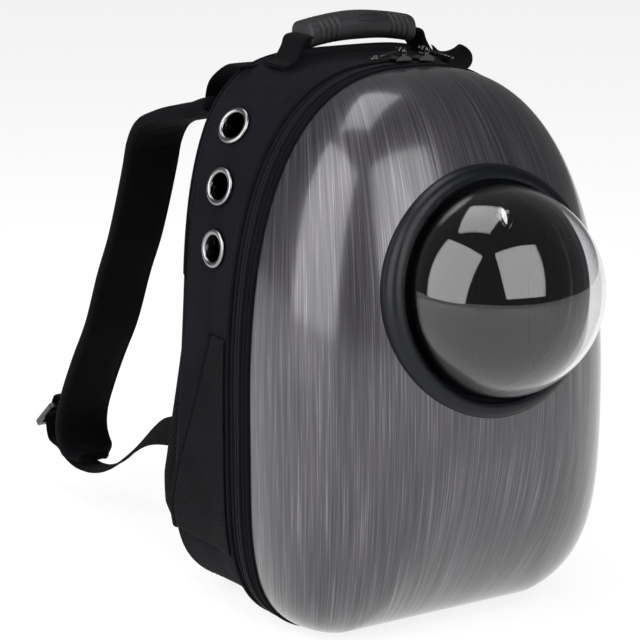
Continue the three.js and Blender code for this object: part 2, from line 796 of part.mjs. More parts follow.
function paddedSection(width, thick) {
  const w = width / 2;
  const t = thick / 2;
  const bevel = t * 0.9;
  return [
    [-w, -t * 0.35], [-w + bevel, -t], [w - bevel, -t], [w, -t * 0.35],
    [w, t * 0.35], [w - bevel, t], [-w + bevel, t], [-w, t * 0.35],
  ];
}

// Shoulder straps, seen from the side: out behind the bag and down, as shares of reach and drop
const STRAP_ROUTE = [
  { out: -0.06, down: -0.006 },
  { out: 0.083, down: 0.012 },
  { out: 0.159, down: 0.032 },
  { out: 0.326, down: 0.06 },
  { out: 0.424, down: 0.091 },
  { out: 0.473, down: 0.135 },
  { out: 0.504, down: 0.197 },
  { out: 0.553, down: 0.288 },
  { out: 0.61, down: 0.382 },
  { out: 0.682, down: 0.476 },
  { out: 0.773, down: 0.612 },
  { out: 0.864, down: 0.712 },
  { out: 0.943, down: 0.806 },
  { out: 0.992, down: 0.88 },
  { out: 0.998, down: 0.932 },
  { out: 0.965, down: 0.97 },
  { out: 0.92, down: 0.984 },
];

function strapPoint({ out, down }, side) {
  return vec(side * STRAP_X, BACK_Y + out * STRAP_REACH, STRAP_ROOT_Z - down * STRAP_DROP);
}

// A strap grown by some amount, wide and full between its narrower root and tip
function strapBlank(side, grow) {
  const path = STRAP_ROUTE.map((row) => strapPoint(row, side));
  const sides = path.map(() => vec(1, 0, 0));
  return strip(path, sides, STRAP_STEPS, (t) => {
    const root = lerp(0.78, 1, THREE.MathUtils.smoothstep(t, 0, 0.16));
    const tip = 1 - 0.4 * THREE.MathUtils.smoothstep(t, 0.93, 1);
    const thin = 1 - 0.35 * THREE.MathUtils.smoothstep(t, 0.95, 1);
    return paddedSection(STRAP_WIDTH * root * tip + 2 * grow, STRAP_THICK * thin + 2 * grow);
  });
}

function shoulderStrap(side) {
  return largest(cut(strapBlank(side, 0), backPadBlank(GAP), bagBlank(GAP)));
}

// Load lifters: short webbing from the bag's top edge to the strap; the right one bows out.
// Shares of the bow, of the reach behind the back and of the fall below the top edge.
const LIFTER_ROUTES = {
  left: [
    { bow: -0.24, reach: -0.63, fall: 0.32 },
    { bow: -0.24, reach: -0.29, fall: -0.04 },
    { bow: -0.24, reach: 0.1, fall: -0.09 },
    { bow: -0.24, reach: 0.54, fall: 0.07 },
    { bow: -0.24, reach: 0.88, fall: 0.3 },
    { bow: -0.24, reach: 1, fall: 0.57 },
    { bow: -0.24, reach: 0.93, fall: 0.95 },
  ],
  right: [
    { bow: -0.06, reach: -0.22, fall: 0.32 },
    { bow: 0.06, reach: -0.17, fall: 0.02 },
    { bow: 0.41, reach: -0.1, fall: 0 },
    { bow: 0.82, reach: 0, fall: 0.13 },
    { bow: 0.98, reach: 0.2, fall: 0.32 },
    { bow: 0.82, reach: 0.49, fall: 0.47 },
    { bow: 0.53, reach: 0.83, fall: 0.61 },
    { bow: 0.35, reach: 0.98, fall: 1 },
  ],
};
const LIFTER_WIDTH = 0.8 * WEBBING_WIDTH;

function loadLifter(name) {
  const side = SIDES[name];
  const edge = topZ(1, STRAP_X);
  const path = LIFTER_ROUTES[name].map(({ bow, reach, fall }) => vec(
    side * (STRAP_X + bow * LIFTER_BOW),
    BACK_Y + reach * LIFTER_REACH,
    edge - fall * LIFTER_FALL,
  ));
  const sides = path.map(() => vec(1, 0, 0));
  const blank = strip(path, sides, LIFTER_STEPS, () => flatSection(LIFTER_WIDTH, WEBBING_THICK));
  return largest(cut(blank, bagBlank(GAP), backPadBlank(GAP), strapBlank(side, GAP)));
}

// Buckle: a flat ladder lock with two slots, hung behind the strap's lower end
const STRAP_END = { y: BACK_Y + STRAP_REACH, z: STRAP_ROOT_Z - STRAP_DROP };
const BUCKLE_CENTRE = { y: STRAP_END.y + BUCKLE_OUT, z: STRAP_END.z + BUCKLE_UP };
const BUCKLE_ALONG = vec(0, Math.cos(rad(BUCKLE_TILT)), Math.sin(rad(BUCKLE_TILT)));
const BUCKLE_FACE = vec(0, -BUCKLE_ALONG.z, BUCKLE_ALONG.y);
const SLOT_SHIFT = BUCKLE_LENGTH / 4;
const END_BAR = SLOT_SHIFT + BUCKLE_SLOT / 2;      // near edge of the buckle's end bar
const MIDDLE_BAR = SLOT_SHIFT - BUCKLE_SLOT / 2;   // edge of its middle bar
const SNUG = GAP + WEBBING_THICK / 2;              // webbing that lies against a bar
const BUCKLE_FACE_OUT = BUCKLE_THICK / 2;

function buckleSpot(side, along, out) {
  return vec(side * STRAP_X, BUCKLE_CENTRE.y, BUCKLE_CENTRE.z)
    .addScaledVector(BUCKLE_ALONG, along)
    .addScaledVector(BUCKLE_FACE, out);
}

function strapBuckle(side) {
  const w = BUCKLE_WIDTH / 2;
  const l = BUCKLE_LENGTH / 2;
  const bevel = BUCKLE_BEVEL;
  const shape = new THREE.Shape([
    [-w + bevel, -l], [w - bevel, -l], [w, -l + bevel], [w, l - bevel],
    [w - bevel, l], [-w + bevel, l], [-w, l - bevel], [-w, -l + bevel],
  ].map(([x, y]) => new THREE.Vector2(x, y)));
  const slotHalf = WEBBING_WIDTH / 2 + 1;
  for (const middle of [-SLOT_SHIFT, SLOT_SHIFT]) {
    const [low, high] = [middle - BUCKLE_SLOT / 2, middle + BUCKLE_SLOT / 2];
    shape.holes.push(new THREE.Path([
      [-slotHalf, low], [-slotHalf, high], [slotHalf, high], [slotHalf, low],
    ].map(([x, y]) => new THREE.Vector2(x, y))));
  }
  const flat = new THREE.ExtrudeGeometry(shape, { depth: BUCKLE_THICK, bevelEnabled: false });
  const plate = merged(flat).translate(0, 0, -BUCKLE_THICK / 2);
  plate.applyMatrix4(new THREE.Matrix4().makeBasis(vec(1, 0, 0), BUCKLE_ALONG, BUCKLE_FACE));
  return plate.translate(side * STRAP_X, BUCKLE_CENTRE.y, BUCKLE_CENTRE.z);
}

// Webbing around a bar of the buckle: [along, out] places, along measured from the bar's edge
const AROUND_BAR = [
  [-SNUG, -1],
  [-SNUG, 1],
  [-SNUG + GAP, BUCKLE_FACE_OUT + SNUG],
  [1.5, BUCKLE_FACE_OUT + SNUG + 1],
];

// Short webbing that is sewn to the strap and loops around the buckle's upper end bar
function buckleTab(side) {
  const root = vec(side * STRAP_X, STRAP_END.y - BUCKLE_TAB_SINK, STRAP_END.z + BUCKLE_TAB_RISE);
  const above = AROUND_BAR.map(([along, out]) => buckleSpot(side, -END_BAR - along, out));
  const below = AROUND_BAR.slice(2).map(([along, out]) => buckleSpot(side, -END_BAR - along, -out));
  const past = buckleSpot(side, -BUCKLE_LENGTH / 2 - BUCKLE_BEVEL, BUCKLE_FACE_OUT + BUCKLE_BEVEL);
  const path = [root, past, ...above.reverse(), ...below];
  const sides = path.map(() => vec(1, 0, 0));
  const blank = strip(path, sides, path.length - 1, () => flatSection(WEBBING_WIDTH, WEBBING_THICK));
  return largest(cut(blank, strapBlank(side, GAP)));
}

// Adjuster webbing from the bag's lower back corner to the buckle's lower slot, as shares of
// the way across to the strap, of the strap's reach and of the anchor's height over its end
const ADJUSTER_ROUTE = [
  { across: 0, out: 0.02, rise: 1, turn: 62 },
  { across: 0.08, out: 0.13, rise: 0.98, turn: 60 },
  { across: 0.2, out: 0.24, rise: 0.91, turn: 57 },
  { across: 0.38, out: 0.36, rise: 0.79, turn: 52 },
  { across: 0.6, out: 0.48, rise: 0.61, turn: 45 },
  { across: 0.79, out: 0.6, rise: 0.39, turn: 35 },
  { across: 0.9, out: 0.72, rise: 0.17, turn: 22 },
  { across: 0.97, out: 0.82, rise: 0.035, turn: 11 },
  { across: 1, out: 0.9, rise: -0.03, turn: 3 },
  { across: 1, out: 0.97, rise: -0.045, turn: 0 },
  { across: 1, out: 1.03, rise: -0.01, turn: 0 },
  { across: 1, out: 1.08, rise: 0.06, turn: 0 },
];
const ADJUSTER_HANG = 18;         // where the webbing comes up to the buckle from below


function adjusterWebbing(side) {
  const path = ADJUSTER_ROUTE.map(({ across, out, rise }) => vec(
    side * lerp(ANCHOR_X, STRAP_X, across),
    BACK_Y + out * STRAP_REACH,
    lerp(STRAP_END.z, ANCHOR_Z, rise),
  ));
  path.push(
    buckleSpot(side, END_BAR - SNUG, -ADJUSTER_HANG),
    buckleSpot(side, MIDDLE_BAR + 2 * SNUG, -BUCKLE_THICK),
    ...AROUND_BAR.map(([along, out]) => buckleSpot(side, MIDDLE_BAR - along, out)),
    buckleSpot(side, -MIDDLE_BAR / 2, BUCKLE_THICK),
  );
  const turns = path.map((_, i) => ADJUSTER_ROUTE[i]?.turn ?? 0);
  const sides = turns.map((turn) => vec(Math.cos(rad(turn)), 0, -side * Math.sin(rad(turn))));
  const blank = strip(path, sides, path.length - 1, () => flatSection(WEBBING_WIDTH, WEBBING_THICK));
  return largest(cut(blank, backPadBlank(GAP), bagBlank(GAP)));
}

// Handle: a moulded grip over the top of the bag, held by webbing at both ends
const GRIP_END_RIBS = 4;
const GRIP_RIB_PITCH = 4.6;
const GRIP_RIB_DEPTH = 0.1;

function gripStations() {
  const half = GRIP_LENGTH / 2;
  const ends = [{ x: half, scale: 0.86 }, { x: half - 2, scale: 1 }, { x: half - 6, scale: 1 }];
  for (let i = 0; i < GRIP_END_RIBS; i += 1) {
    const start = half - 7 - i * GRIP_RIB_PITCH;
    ends.push({ x: start - 1.4, scale: 1 - GRIP_RIB_DEPTH }, { x: start - 3.2, scale: 1 });
  }
  const middle = [{ x: half * 0.3, scale: 1.02 }, { x: 0, scale: 1.04 }];
  const right = [...ends, ...middle];
  const left = right.slice(0, -1).reverse().map(({ x, scale }) => ({ x: -x, scale }));
  return [...right, ...left];
}

const HANDLE_SHARE = (HANDLE_Y - GUSSET_Y) / GUSSET_DEPTH;
const GRIP_Z = topZ(HANDLE_SHARE, 0) + GRIP_CLEARANCE + GRIP_HEIGHT / 2;

function gripCentreZ(x) {
  return GRIP_Z - GRIP_DROOP * (x / (GRIP_LENGTH / 2)) ** 2;
}

function handleGrip(grow = 0) {
  const sectionSteps = GRIP_SECTION_STEPS;
  const longer = 1 + (2 * grow) / GRIP_LENGTH;
  const rings = gripStations().map(({ x, scale }) => Array.from({ length: sectionSteps }, (_, i) => {
    const angle = (2 * Math.PI * (i + 0.5)) / sectionSteps;
    const boxy = (value) => Math.sign(value) * Math.abs(value) ** 0.75;
    const y = (grow + (GRIP_WIDTH / 2) * scale) * boxy(Math.cos(angle));
    const z = (grow + (GRIP_HEIGHT / 2) * scale) * boxy(Math.sin(angle));
    return vec(x * longer, HANDLE_Y + y, gripCentreZ(x) + z);
  }));
  return loft(rings);
}

function handleWebbing(side) {
  const end = GRIP_LENGTH / 2;
  const tail = HANDLE_LANDING + HANDLE_TAIL;
  const landing = topZ(HANDLE_SHARE, HANDLE_LANDING);
  const startZ = gripCentreZ(end);
  const path = [
    vec(side * (end - 2), HANDLE_Y, startZ),
    vec(side * (end + 5), HANDLE_Y, startZ - 1.5),
    vec(side * lerp(end, HANDLE_LANDING, 0.55), HANDLE_Y, lerp(landing, startZ, 0.55)),
    vec(side * HANDLE_LANDING, HANDLE_Y, landing + HANDLE_WEBBING_THICK / 2),
    vec(side * tail, HANDLE_Y, topZ(HANDLE_SHARE, tail) + HANDLE_WEBBING_THICK / 2),
  ];
  const sides = path.map(() => vec(0, 1, 0));
  const blank = strip(path, sides, 10, () => flatSection(HANDLE_WEBBING_WIDTH, HANDLE_WEBBING_THICK));
  return largest(cut(blank, bagBlank(GAP), handleGrip(GAP)));
}

// Zip sliders on the coil at the top, each with a pull that swings on a pin
function sliderBase(name) {
  return topZ(0, SLIDER_X[name] - SLIDER_LENGTH / 2) + COIL_PROUD + GAP;
}

function pinCentre(name) {
  return vec(SLIDER_X[name], COIL_Y, sliderBase(name) + SLIDER_HEIGHT + PIN_HEIGHT);
}

function zipSlider(name) {
  const x = SLIDER_X[name];
  const base = sliderBase(name);
  const l = SLIDER_LENGTH / 2;
  const profile = new THREE.Shape([
    [-l, 0], [l, 0], [l, SLIDER_HEIGHT * 0.6], [l - 3, SLIDER_HEIGHT],
    [-l + 3, SLIDER_HEIGHT], [-l, SLIDER_HEIGHT * 0.6],
  ].map(([a, b]) => new THREE.Vector2(a, b)));
  const foot = merged(new THREE.ExtrudeGeometry(profile, { depth: SLIDER_WIDTH, bevelEnabled: false }));
  foot.rotateX(Math.PI / 2).translate(x, COIL_Y + SLIDER_WIDTH / 2, base);
  const pin = pinCentre(name);
  const earThick = 1.5;
  const earTop = pin.z + PIN_RADIUS + 0.6;
  const earHeight = earTop - base - SLIDER_HEIGHT / 2;
  const ears = [-1, 1].map((s) => boxAt(4, earThick, earHeight, x,
    COIL_Y + s * (SLIDER_WIDTH / 2 - earThick / 2), earTop - earHeight / 2));
  const rod = cylinder(PIN_RADIUS, SLIDER_WIDTH - earThick, 10).translate(pin.x, pin.y, pin.z);
  return join(foot, ...ears, rod);
}

function zipPull(name) {
  const side = SIDES[name];
  const pin = pinCentre(name);
  const eyeHole = PIN_RADIUS + EYE_CLEARANCE;
  const eye = cylinder(eyeHole + EYE_WALL, PULL_WIDTH, 10);
  const reach = PULL_LENGTH - PULL_RING_RADIUS;
  const bar = boxAt(reach, PULL_WIDTH, PULL_THICK, reach / 2, 0, 0);
  const ring = cylinder(PULL_RING_RADIUS, PULL_THICK, 10).rotateX(Math.PI / 2).translate(reach, 0, 0);
  const ringHole = cylinder(PULL_RING_HOLE, 4 * PULL_THICK, 10).rotateX(Math.PI / 2).translate(reach, 0, 0);
  const eyeBore = cylinder(eyeHole, 2 * PULL_WIDTH, 10);
  const pull = cut(join(eye, bar, ring), ringHole, eyeBore);
  const dip = rad(PULL_DIP[name]);
  const turn = side > 0 ? dip : Math.PI - dip;
  return pull.rotateY(turn).translate(pin.x, pin.y, pin.z);
}

// Side pockets: a mesh panel on the gusset with a slanted, bound opening at the back
const POCKET_ROWS = [
  { height: 0, reach: 0.93 },
  { height: 0.14, reach: 0.9 },
  { height: 0.28, reach: 0.8 },
  { height: 0.44, reach: 0.68 },
  { height: 0.62, reach: 0.53 },
  { height: 0.8, reach: 0.4 },
  { height: 1, reach: 0.27 },
];
const POCKET_COLUMNS = [0.02, 0.25, 0.5, 0.75, 1];

function pocketPoint(row, column, out, side) {
  const z = lerp(POCKET_BOTTOM, POCKET_TOP, row.height);
  const share = Math.max(0.03, row.reach * column);
  const edge = 4 * row.height * (1 - row.height);
  const stand = POCKET_BULGE * edge * column + 2 * GAP;
  return vec(side * (sideX(share, z) + stand + out), gussetY(share, z), z);
}

function sidePocket(side) {
  const sheet = (out) => POCKET_ROWS.map((row) =>
    POCKET_COLUMNS.map((column) => pocketPoint(row, column, out, side)));
  return cut(slab(sheet(0), sheet(POCKET_WALL)), bagBlank(GAP));
}

function pocketBinding(side) {
  const lift = (BINDING_THICK - POCKET_WALL) / 2;
  const sheet = (out, along) => POCKET_ROWS.map((row) => {
    const p = pocketPoint(row, 1, out, side);
    return p.add(vec(0, along, 0));
  });
  const front = [sheet(-lift, GAP), sheet(-lift, GAP + BINDING_WIDTH)];
  const back = [sheet(POCKET_WALL + lift, GAP), sheet(POCKET_WALL + lift, GAP + BINDING_WIDTH)];
  return cut(slab(front, back), bagBlank(GAP));
}

// The whole carrier
const carrier = new THREE.Group();

function add(name, geometry, material) {
  const mesh = new THREE.Mesh(geometry, MATERIALS[material]);
  mesh.name = name;
  carrier.add(mesh);
}

add('front_shell', frontShell(), 'shell');
add('window_ring', windowRing(), 'ring');
add('window_dome', windowDome(), 'dome');
add('rim_piping', piping(RIM_PIPING_Y, RIM_PIPING_WIDTH), 'cloth');
add('zip_band', zipBand(), 'zip');
add('seam_piping', piping(SEAM_PIPING_Y, SEAM_PIPING_WIDTH), 'cloth');
add('gusset_top', topPanel(), 'cloth');
add('gusset_base', basePanel(), 'cloth');
add('bag_back', bagBack(), 'cloth');
add('back_pad', cut(backPadBlank(0), bagBlank(GAP)), 'mesh');
add('handle_grip', handleGrip(), 'rubber');
for (const [name, side] of Object.entries(SIDES)) {
  GROMMETS.forEach((row, i) => add(`grommet_${name}_${i + 1}`, grommet(row, side), 'steel'));
  add(`gusset_${name}`, sidePanel(side), 'cloth');
  add(`shoulder_strap_${name}`, shoulderStrap(side), 'mesh');
  add(`load_lifter_${name}`, loadLifter(name), 'webbing');
  add(`adjuster_webbing_${name}`, adjusterWebbing(side), 'webbing');
  add(`strap_buckle_${name}`, strapBuckle(side), 'plastic');
  add(`buckle_tab_${name}`, buckleTab(side), 'webbing');
  add(`handle_webbing_${name}`, handleWebbing(side), 'webbing');
  add(`zip_slider_${name}`, zipSlider(name), 'plastic');
  add(`zip_pull_${name}`, zipPull(name), 'plastic');
  add(`side_pocket_${name}`, sidePocket(side), 'mesh');
  add(`pocket_binding_${name}`, pocketBinding(side), 'cloth');
}

export default carrier;
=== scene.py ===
"""Bubble pet carrier backpack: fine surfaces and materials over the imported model.

Sizes are in millimetres and become metres when a mesh is made. +Z is up, -Y is the front,
+X is the right seen from the front, and the origin is the centre of the flat underside.
"""
import math

import bmesh
import bpy
import numpy as np
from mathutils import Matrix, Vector


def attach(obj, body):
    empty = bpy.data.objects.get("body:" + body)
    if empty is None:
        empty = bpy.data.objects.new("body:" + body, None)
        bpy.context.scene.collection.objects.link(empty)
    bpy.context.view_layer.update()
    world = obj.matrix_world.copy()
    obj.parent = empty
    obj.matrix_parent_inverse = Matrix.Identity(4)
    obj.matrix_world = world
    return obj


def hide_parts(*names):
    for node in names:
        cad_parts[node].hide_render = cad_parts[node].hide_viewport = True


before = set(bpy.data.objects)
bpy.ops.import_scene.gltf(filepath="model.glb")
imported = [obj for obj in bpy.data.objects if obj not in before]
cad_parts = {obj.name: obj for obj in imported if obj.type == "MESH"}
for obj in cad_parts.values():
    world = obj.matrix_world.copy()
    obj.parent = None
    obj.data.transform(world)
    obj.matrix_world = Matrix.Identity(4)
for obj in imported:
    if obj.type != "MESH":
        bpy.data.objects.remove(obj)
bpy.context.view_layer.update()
MM = 0.001
BODY = "carrier"
SIDES = {"left": -1, "right": 1}

# Main sizes, the same as the solids
GAP = 0.3
CLOTH = 2.0
SHELL_WALL = 2.2
BAG_WIDTH, BACK_WIDTH = 275.0, 271.6
SHELL_HEIGHT, BACK_HEIGHT = 407.4, 412.6
SHELL_DEPTH = 117.0
RIM_Y = -65.0
RIM_PIPING_WIDTH = 5.0
ZIP_BAND_WIDTH = 22.0
SEAM_PIPING_WIDTH = 5.0
PIPING_PROUD = 1.8
COIL_WIDTH = 6.0
COIL_PROUD = 1.6
GUSSET_DEPTH = 70.0
BASE_SWELL, SWELL_TOP = 22.0, 260.0
BACK_EDGE_RADIUS = 6.0
VALLEY_DEPTH = 2.5
FRONT_OUTLINE = {"top": 2.61, "bottom": 4.45, "waist": 159.4}
BACK_OUTLINE = {"top": 4.02, "bottom": 3.6, "waist": 115.0}
BASE_ROUNDING_SHARE = 0.33
BASE_TRIM = 4.0
DISH_POWER = 2.57
DISH_CENTRE_Z = 225.7
DISH_SLOPE = 0.11
DISH_HIGH_CURVE = 0.161
DISH_LOW_CURVE = 0.26

RIM_PIPING_Y = RIM_Y + GAP
ZIP_BAND_Y = RIM_PIPING_Y + RIM_PIPING_WIDTH + GAP
SEAM_PIPING_Y = ZIP_BAND_Y + ZIP_BAND_WIDTH + GAP
GUSSET_Y = SEAM_PIPING_Y + SEAM_PIPING_WIDTH + GAP
BACK_Y = GUSSET_Y + GUSSET_DEPTH

# Window
DOME_RADIUS = 75.0
DOME_WALL = 2.5
DOME_FLANGE = 4.7
DOME_BASE = 8.5
WINDOW_CENTRE = np.array([0.0, -162.327, 262.2])
WINDOW_TILT = math.radians(10.4)
RING_RADIUS = 88.9
RING_HEIGHT = 10.4
SLEEVE_RADIUS = 82.4
SEAT_SINK = 1.6               # how deep the ring's outer edge sits in the shell
SHELL_HOLE_RADIUS = SLEEVE_RADIUS + 0.4
DRILL_DEPTH = 90.0

# Air holes: height and share across the gusset
GROMMETS = [(365.0, 0.52), (323.0, 0.44), (279.0, 0.38)]
GROMMET_RADIUS, GROMMET_HOLE, GROMMET_BARREL = 14.0, 10.0, 11.0

# Straps
STRAP_X, STRAP_WIDTH, STRAP_THICK = 87.0, 47.0, 12.0
STRAP_ROOT_Z, STRAP_REACH, STRAP_DROP = 376.0, 264.0, 340.0
WEBBING_WIDTH, WEBBING_THICK = 25.0, 1.8
LIFTER_BOW, LIFTER_REACH, LIFTER_FALL = 34.0, 41.0, 44.0
ANCHOR_X, ANCHOR_Z = 118.0, 121.0
BUCKLE_WIDTH, BUCKLE_LENGTH, BUCKLE_THICK, BUCKLE_SLOT = 33.0, 40.0, 4.5, 8.0
BUCKLE_BEVEL = 4.0
BUCKLE_TILT = math.radians(-38.0)
BUCKLE_OUT, BUCKLE_UP = 40.0, 31.0
BUCKLE_TAB_SINK, BUCKLE_TAB_RISE = 2.0, 52.0
ADJUSTER_HANG = 18.0

# Handle
HANDLE_Y = 12.0
GRIP_LENGTH, GRIP_WIDTH, GRIP_HEIGHT = 92.0, 30.0, 20.0
GRIP_CLEARANCE, GRIP_DROOP = 9.5, 5.0
HANDLE_WEBBING_THICK, HANDLE_WEBBING_WIDTH = 3.0, 30.0
HANDLE_LANDING, HANDLE_TAIL = 61.0, 8.0
HANDLE_SHARE = (HANDLE_Y - GUSSET_Y) / GUSSET_DEPTH

# Pad and pockets
PAD_TOP, PAD_BOTTOM, PAD_THICK, PAD_EDGE_INSET, PAD_CORNER_INSET = 392.0, 43.0, 40.0, 7.0, 10.0
POCKET_BOTTOM, POCKET_TOP, POCKET_WALL, POCKET_BULGE = 53.0, 217.0, 1.2, 3.5
BINDING_WIDTH, BINDING_THICK = 6.0, 2.4

AROUND = 320          # points around the outline in the fine surfaces
SETTLE_STEPS = 20     # steps of each cloth simulation
ACROSS = np.array([1.0, 0.0, 0.0])
BACKWARD = np.array([0.0, 1.0, 0.0])
UPWARD = np.array([0.0, 0.0, 1.0])


def smooth(value, low, high):
    part = np.clip((value - low) / (high - low), 0, 1)
    return part * part * (3 - 2 * part)


def lerp(a, b, t):
    return a + (b - a) * t


# Outlines of the bag, from the shell's rim (share 0) to the back (share 1)
def outline_shape(share):
    rounded = min(1.0, share / BASE_ROUNDING_SHARE)
    return {
        "half": lerp(BAG_WIDTH, BACK_WIDTH, share) / 2,
        "height": lerp(SHELL_HEIGHT, BACK_HEIGHT, share),
        "top": lerp(FRONT_OUTLINE["top"], BACK_OUTLINE["top"], share),
        "bottom": lerp(FRONT_OUTLINE["bottom"], BACK_OUTLINE["bottom"], rounded),
        "waist": lerp(FRONT_OUTLINE["waist"], BACK_OUTLINE["waist"], share),
    }


def half_outline(share):
    shape = outline_shape(share)
    angle = np.linspace(-math.pi / 2, math.pi / 2, 4001)
    across = np.clip(np.cos(angle), 0, 1)
    rise = np.abs(np.sin(angle))
    upper = angle > 0
    power = np.where(upper, shape["top"], shape["bottom"])
    x = shape["half"] * across ** (2 / power)
    reach = np.where(upper, shape["height"] - shape["waist"], -(shape["waist"] + BASE_TRIM))
    z = np.maximum(0, shape["waist"] + reach * rise ** (2 / power))
    length = np.concatenate([[0], np.cumsum(np.hypot(np.diff(x), np.diff(z)))])
    goal = np.linspace(0, length[-1], AROUND // 2 + 1)
    return np.stack([np.interp(goal, length, x), np.interp(goal, length, z)], axis=1)


OUTLINES = {}


def outline(share):
    key = round(share, 5)
    if key not in OUTLINES:
        right = half_outline(share)
        right[0, 0] = right[-1, 0] = 0
        left = right[1:-1][::-1] * [-1, 1]
        OUTLINES[key] = np.concatenate([right, left])
    return OUTLINES[key]


def grown(share, grow):
    """The outline moved out by an amount (one for all, or one a point), never below the base."""
    base = outline(share)
    along = np.roll(base, -1, axis=0) - np.roll(base, 1, axis=0)
    along /= np.linalg.norm(along, axis=1, keepdims=True)
    out = np.stack([along[:, 1], -along[:, 0]], axis=1)
    moved = base + out * np.reshape(grow, (-1, 1))
    moved[:, 1] = np.maximum(0, moved[:, 1])
    return moved


def swell(z):
    return BASE_SWELL * (1 - smooth(z, 0, SWELL_TOP))


def gusset_y(share, z):
    return lerp(GUSSET_Y, BACK_Y + swell(z), share)


def side_x(share, z):
    half = outline(share)[: AROUND // 2 + 1]
    return np.interp(z, half[:, 1], half[:, 0])


def top_z(share, x):
    half = outline(share)[: AROUND // 2 + 1]
    upper = half[half[:, 1] > outline_shape(share)["waist"]][::-1]
    return np.interp(abs(x), upper[:, 0], upper[:, 1])


def dish_depth(share, z):
    bulge = np.maximum(0, 1 - share ** DISH_POWER) ** (1 / DISH_POWER)
    u = 2 * z / SHELL_HEIGHT - 1
    curve = np.where(u > 0, DISH_HIGH_CURVE, DISH_LOW_CURVE)
    return SHELL_DEPTH * bulge * (1 - DISH_SLOPE * u - curve * u * u)


RIM = outline(0)[: AROUND // 2 + 1]
RIM_ANGLE = np.arctan2(RIM[:, 1] - DISH_CENTRE_Z, RIM[:, 0])
RIM_DISTANCE = np.hypot(RIM[:, 0], RIM[:, 1] - DISH_CENTRE_Z)


def dish_y(x, z):
    """Y of the shell's outer surface over a point of the front view."""
    angle = np.arctan2(z - DISH_CENTRE_Z, abs(x))
    distance = np.interp(angle, RIM_ANGLE, RIM_DISTANCE)
    share = np.minimum(1, np.hypot(x, z - DISH_CENTRE_Z) / distance)
    return RIM_Y - dish_depth(share, z)


WINDOW_RIGHT = np.array([1.0, 0.0, 0.0])
WINDOW_UP = np.array([0.0, math.sin(WINDOW_TILT), math.cos(WINDOW_TILT)])
WINDOW_OUT = np.array([0.0, -math.cos(WINDOW_TILT), math.sin(WINDOW_TILT)])
WINDOW_WAYS = (WINDOW_RIGHT, WINDOW_UP, WINDOW_OUT)


def seat_height(radius, angle):
    """Height of the shell's surface over the window's plane."""
    low, high = -30.0, 30.0
    for _ in range(40):
        middle = (low + high) / 2
        around = math.cos(angle) * WINDOW_RIGHT + math.sin(angle) * WINDOW_UP
        p = WINDOW_CENTRE + radius * around + middle * WINDOW_OUT
        if p[1] < dish_y(p[0], p[2]):
            high = middle
        else:
            low = middle
    return (low + high) / 2


# Meshes
def lengths(points, closed):
    steps = np.linalg.norm(np.diff(points, axis=0), axis=1)
    if closed:
        steps = np.append(steps, np.linalg.norm(points[0] - points[-1]))
    return np.concatenate([[0], np.cumsum(steps)])


def finish_mesh(name, points, faces, uvs=None):
    mesh = bpy.data.meshes.new(name)
    mesh.from_pydata((np.asarray(points) * MM).tolist(), [], faces)
    if uvs is not None:
        layer = mesh.uv_layers.new(name="mm")
        layer.data.foreach_set("uv", np.asarray(uvs, dtype=np.float32).ravel())
    mesh.validate()
    piece = bpy.data.objects.new(name, mesh)
    bpy.context.collection.objects.link(piece)
    mesh.shade_smooth()
    return piece


def surface(name, points, wrap_rows=False, wrap_columns=False, cap=False):
    """A quad mesh over a grid of points, with a UV map that measures millimetres."""
    points = np.asarray(points, dtype=float)
    rows, columns = points.shape[:2]
    across = lengths(points[rows // 2], True)
    along = lengths(points[:, columns // 4], True)
    faces = []
    uvs = []
    for r in range(rows if wrap_rows else rows - 1):
        for c in range(columns if wrap_columns else columns - 1):
            r2, c2 = (r + 1) % rows, (c + 1) % columns
            faces.append((r * columns + c, r * columns + c2, r2 * columns + c2, r2 * columns + c))
            uvs += [(across[c], along[r]), (across[c + 1], along[r]),
                    (across[c + 1], along[r + 1]), (across[c], along[r + 1])]
    if cap:
        for row in (0, rows - 1):
            ring = [row * columns + c for c in range(columns)]
            faces.append(tuple(ring if row else ring[::-1]))
            uvs += [(across[c % columns], along[row]) for c in range(columns)]
    piece = finish_mesh(name, points.reshape(-1, 3), faces, uvs)
    outward(piece)
    return piece


def outward(piece):
    work = bmesh.new()
    work.from_mesh(piece.data)
    bmesh.ops.recalc_face_normals(work, faces=work.faces)
    work.to_mesh(piece.data)
    work.free()


def dress(piece, look, nodes=(), body=BODY, inner=None):
    """Gives a piece its material and its body."""
    piece.data.materials.clear()
    piece.data.materials.append(look)
    if inner is not None:
        piece.data.materials.append(inner)
    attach(piece, body)
    if nodes:
        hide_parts(*nodes)
    return piece


def apply_modifiers(piece):
    bpy.context.view_layer.objects.active = piece
    graph = bpy.context.evaluated_depsgraph_get()
    mesh = bpy.data.meshes.new_from_object(piece.evaluated_get(graph))
    old = piece.data
    piece.modifiers.clear()
    piece.data = mesh
    bpy.data.meshes.remove(old)
    return piece


def thicken(piece, wall, inner_slot=0):
    solid = piece.modifiers.new("wall", "SOLIDIFY")
    solid.thickness = wall * MM
    solid.offset = -1
    solid.use_even_offset = False
    solid.material_offset = inner_slot
    solid.material_offset_rim = 0
    return apply_modifiers(piece)


def soften(piece, width, segments):
    bevel = piece.modifiers.new("edges", "BEVEL")
    bevel.width = width * MM
    bevel.segments = segments
    bevel.limit_method = "ANGLE"
    bevel.angle_limit = math.radians(35)
    return apply_modifiers(piece)


